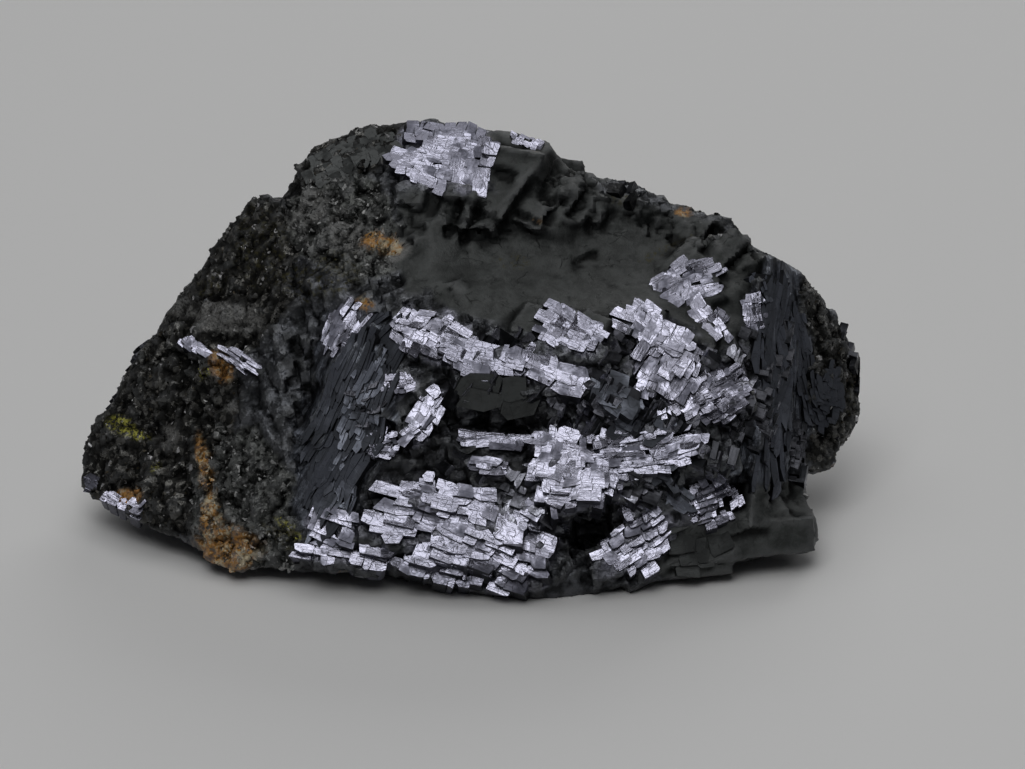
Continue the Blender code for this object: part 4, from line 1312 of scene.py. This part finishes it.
# depth: of the blocks, mm. proud: how far the lowest crowns stand off the body, mm. flatten: how far hollows
# are built up. bend: how far rows bend, mm.
cleavages = {
    "brightCleavage": dict(patches=brightPatches, finish="bright", ground=smoothBody, depth=4.0, proud=0.34,
                           flatten=0.45, bend=0.7),
    "dullCleavage": dict(patches=dullPatches, finish="dull", ground=smoothBody, depth=2.4, proud=0.2,
                         flatten=0.0, bend=0.7),
    "blueCleavage": dict(patches=bluePatches, finish="blue", ground=smoothBody, depth=2.8, proud=0.3,
                         flatten=0.2, bend=1.3),
    "backCleavage": dict(patches=backPatches, finish="grey", ground=smoothBody, depth=2.4, proud=0.25,
                         flatten=0.0, bend=0.7),
    "greyCleavage": dict(patches=wanderingPatches(), finish="grey", ground=oreSkin, depth=2.4, proud=0.02,
                         flatten=0.0, bend=0.7),
}
pieces = [(oreSkin, "galena")]
pieces += [(cleavagePiece(name, kind), "galena") for name, kind in cleavages.items()]
bpy.data.objects.remove(smoothBody, do_unlink=True)


# grains: crumbs of quartz, sphalerite and chalcopyrite, thick where their zone holds

# density: grains per square metre. size: smallest and largest, mm. sunk: how deep, as a share of the size.
# cloud and fine: scales of the clouds of colour and of the relief. relief: its height, mm.
# rough: of the clearest grains, and how much more in the clouds.
grainKinds = {
    "quartzGrains": dict(
        zone="quartz", slot="quartz", density=2.2e6, size=(0.45, 1.9), sunk=0.22, seed=3,
        cloud=0.8, fine=7.0, relief=0.08, rough=(0.10, 0.3), metal=0.0, ior=1.7,
        dark=(0.022, 0.024, 0.023), light=(0.38, 0.385, 0.38), murk=(0.022, 0.023, 0.022),
        olive=(0.075, 0.065, 0.022), rust=(0.09, 0.045, 0.016), amber=(0.46, 0.23, 0.045),
        cream=(0.56, 0.48, 0.33)),
    "sphaleriteGrains": dict(
        zone="granular", slot="sphalerite", density=1.7e6, size=(0.45, 1.5), sunk=0.22, seed=4,
        cloud=0.7, fine=6.0, relief=0.08, rough=(0.2, 0.35), metal=0.7, ior=1.6,
        dark=(0.010, 0.010, 0.009), light=(0.060, 0.057, 0.050), glint=(0.42, 0.42, 0.43),
        brown=(0.06, 0.042, 0.016), pale=(0.15, 0.15, 0.145), rust=(0.30, 0.14, 0.035)),
    "chalcopyriteSpecks": dict(
        zone="brassy", slot="chalcopyrite", density=2.6e6, size=(0.25, 0.8), sunk=0.2, seed=5,
        cloud=1.2, fine=8.0, relief=0.06, rough=(0.32, 0.25), metal=0.7, ior=1.5,
        dark=(0.10, 0.10, 0.022), light=(0.52, 0.50, 0.10), tarnish=(0.03, 0.03, 0.014)),
}


def crumbs(name, number, seed):
    # Rough little hulls.
    draw = random.Random(seed)
    shelf = bpy.data.collections.new(name)
    for index in range(number):
        points = []
        for _ in range(9):
            spot = Vector((draw.gauss(0, 1), draw.gauss(0, 1), draw.gauss(0, 1))).normalized()
            spot *= draw.uniform(0.36, 0.5)
            points.append((spot.x, spot.y * draw.uniform(0.75, 1), spot.z * 0.85))
        addHull(shelf, f"{name}{index}", points)
    return shelf


def scatterTree():
    tree, bench, given = newTree("grainScatter", [
        ("Body", "Object"), ("Shapes", "Collection"), ("Zone", "String"), ("Density", "Float"),
        ("Smallest", "Float"), ("Largest", "Float"), ("Sunk", "Float"), ("Seed", "Int"),
        ("Material", "Material")])
    node = bench.node
    body = bodyOf(bench, given)
    held = node("GeometryNodeInputNamedAttribute", {"data_type": "FLOAT"}, {"Name": given["Zone"]})
    points = node("GeometryNodeDistributePointsOnFaces", {}, {
        "Mesh": body, "Density": bench.ease(held, 0.35, 0.9) * given["Density"], "Seed": given["Seed"]})
    index = node("GeometryNodeInputIndex")
    drawn = node("FunctionNodeRandomValue", {"data_type": "FLOAT"}, {"Seed": given["Seed"]}, 1)
    size = given["Smallest"] + (given["Largest"] - given["Smallest"]) * drawn ** 1.8
    fullTurn = 6.283
    spin = node("FunctionNodeRandomValue", {"data_type": "FLOAT_VECTOR"}, {
        "Max": (fullTurn, fullTurn, fullTurn), "Seed": given["Seed"]}, 0)
    sink = bench.scaled(points.other("Normal"), size * given["Sunk"] * -1)
    moved = node("GeometryNodeSetPosition", {}, {"Geometry": points, "Offset": sink})
    shade = node("FunctionNodeRandomValue", {"data_type": "FLOAT"}, {"Seed": given["Seed"] + 7}, 1)
    named = node("GeometryNodeStoreNamedAttribute", {"data_type": "FLOAT", "domain": "POINT"}, {
        "Geometry": moved, "Name": "cell", "Value": shade})
    shapes = node("GeometryNodeCollectionInfo", {}, {
        "Collection": given["Shapes"], "Separate Children": True, "Reset Children": True})
    turn = node("FunctionNodeEulerToRotation", {}, {0: spin})
    grains = node("GeometryNodeInstanceOnPoints", {}, {
        "Points": named, "Instance": shapes, "Pick Instance": True, "Instance Index": index,
        "Rotation": turn, "Scale": size})
    finishTree(bench, grains, given["Material"])
    return tree


def quartzColour(bench, kind, cell, cloud):
    clear = bench.mixed(bench.ease(cell, 0.35, 1.0), kind["dark"], kind["light"])
    clear = bench.mixed(bench.ease(cloud, 0.35, 0.62), kind["murk"], clear)
    olive = bench.attribute("olive") * bench.ease(cloud, 0.42, 0.6)
    colour = bench.mixed(olive * 0.75, clear, kind["olive"])
    amber = bench.mixed(bench.ease(cell, 0.1, 0.5), kind["rust"], kind["amber"])
    amber = bench.mixed(bench.ease(cloud, 0.50, 0.58), amber, kind["cream"])
    return bench.mixed(bench.attribute("stain") * bench.ease(cloud, 0.36, 0.46), colour, amber)


def sphaleriteColour(bench, kind, cell, cloud):
    colour = bench.mixed(bench.ease(cell, 0.3, 0.9), kind["dark"], kind["light"])
    colour = bench.mixed(bench.ease(cell, 0.86, 0.94), colour, kind["glint"])
    colour = bench.mixed(bench.ease(cloud, 0.57, 0.67) * 0.6, colour, kind["brown"])
    colour = bench.mixed(bench.attribute("pale") * 0.7, colour, kind["pale"])
    return bench.mixed(bench.attribute("stain") * 0.8, colour, kind["rust"])


def chalcopyriteColour(bench, kind, cell, cloud):
    colour = bench.mixed(bench.ease(cell, 0.2, 0.9), kind["dark"], kind["light"])
    return bench.mixed(bench.ease(cloud, 0.52, 0.62) * 0.7, colour, kind["tarnish"])


def makeGrainMaterial(name, kind, colourOf):
    material, bench = newMaterial(name)
    here = bench.millimetres()
    cloud = bench.noise(here, kind["cloud"], 4.0, 0.65)
    least, more = kind["rough"]
    finishMaterial(bench, {
        "Base Color": colourOf(bench, kind, bench.attribute("cell"), cloud),
        "Roughness": least + cloud * more, "Metallic": kind["metal"], "IOR": kind["ior"],
        "Normal": bench.bump(0.4, kind["relief"], bench.noise(here, kind["fine"], 3.0))})
    return material


def grainPiece(name, colourOf):
    kind = grainKinds[name]
    mesh = grown(bpy.data.meshes.new(name), scatter, {
        "Body": oreSkin, "Shapes": crumbs(name + "Shape", 7, kind["seed"]), "Zone": kind["zone"],
        "Density": kind["density"], "Smallest": kind["size"][0] * mm, "Largest": kind["size"][1] * mm,
        "Sunk": kind["sunk"], "Seed": kind["seed"],
        "Material": makeGrainMaterial(name, kind, colourOf)}, name)
    setCoordinates(mesh, coordinates(mesh))
    mesh.polygons.foreach_set("use_smooth", np.zeros(len(mesh.polygons), bool))
    mesh.calc_loop_triangles()
    print(name + ":", len(mesh.loop_triangles), "triangles")
    return freshObject(name, mesh), kind["slot"]


scatter = scatterTree()
pieces += [
    grainPiece("quartzGrains", quartzColour), grainPiece("sphaleriteGrains", sphaleriteColour),
    grainPiece("chalcopyriteSpecks", chalcopyriteColour)]


# floor, light and camera

stage = {
    "floor": 1.6,                       # half width, m
    "floorColour": (0.80, 0.80, 0.795),
    "ceiling": dict(at=(-0.05, 0.05, 1.20), size=(1.50, 1.30), power=4.7),
    "softbox": dict(at=(-0.14, -0.74, 1.02), size=(0.70, 0.54), power=3.3),
    "rearFill": dict(at=(0.30, 0.95, 0.60), size=(0.80, 0.50), power=2.4),
    "room": (0.04, 0.04, 0.042),
}


def makeFloor():
    shape = bmesh.new()
    bmesh.ops.create_grid(shape, x_segments=1, y_segments=1, size=stage["floor"])
    mesh = bpy.data.meshes.new("floor")
    shape.to_mesh(mesh)
    shape.free()
    material, bench = newMaterial("paleFloor")
    here = bench.node("ShaderNodeTexCoord", {}, {}, "Object")
    cloud = bench.noise(here, 9.0, 4.0, 0.6)
    dimmer, paler = (tuple(value * share for value in stage["floorColour"]) for share in (0.985, 1.015))
    finishMaterial(bench, {
        "Base Color": bench.mixed(cloud, dimmer, paler), "Roughness": 0.75, "Specular IOR Level": 0.2,
        "Normal": bench.bump(0.05, 0.1, bench.noise(here, 900.0, 2.0))})
    mesh.materials.append(material)
    floor = freshObject("floor", mesh)


def addSoftLight(name, light):
    lamp = bpy.data.lights.new(name, "AREA")
    lamp.shape = "RECTANGLE"
    lamp.size, lamp.size_y = light["size"]
    lamp.energy = light["power"]
    holder = bpy.data.objects.new(name, lamp)
    bpy.context.scene.collection.objects.link(holder)
    holder.location = light["at"]
    aim = Vector((0, 0, 0.02)) - holder.location
    holder.rotation_euler = aim.to_track_quat("-Z", "Y").to_euler()


def addCamera():
    lens = bpy.data.cameras.new("camera")
    camera = bpy.data.objects.new("camera", lens)
    bpy.context.scene.collection.objects.link(camera)
    centre = placed(*picture["centre"], 0.0)
    camera.location = centre + toward * picture["away"]
    camera.rotation_euler = (-toward).to_track_quat("-Z", "Y").to_euler()
    lens.sensor_width = 36
    wide = picture["pixels"] * picture["pixel"] * mm
    lens.lens = lens.sensor_width * picture["away"] / wide
    lens.clip_start = 0.01
    bpy.context.scene.camera = camera


makeFloor()
for lightName in ("ceiling", "softbox", "rearFill"):
    addSoftLight(lightName, stage[lightName])
world = bpy.data.worlds.new("room")
bpy.context.scene.world = world
world.use_nodes = True
world.node_tree.nodes["Background"].inputs["Color"].default_value = (*stage["room"], 1)
bpy.context.scene.view_settings.view_transform = "Standard"
addCamera()
print("floor, lights and camera are up")


# what rides where

for piece, slot in pieces:
    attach(piece, "root")
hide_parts("galena_specimen")
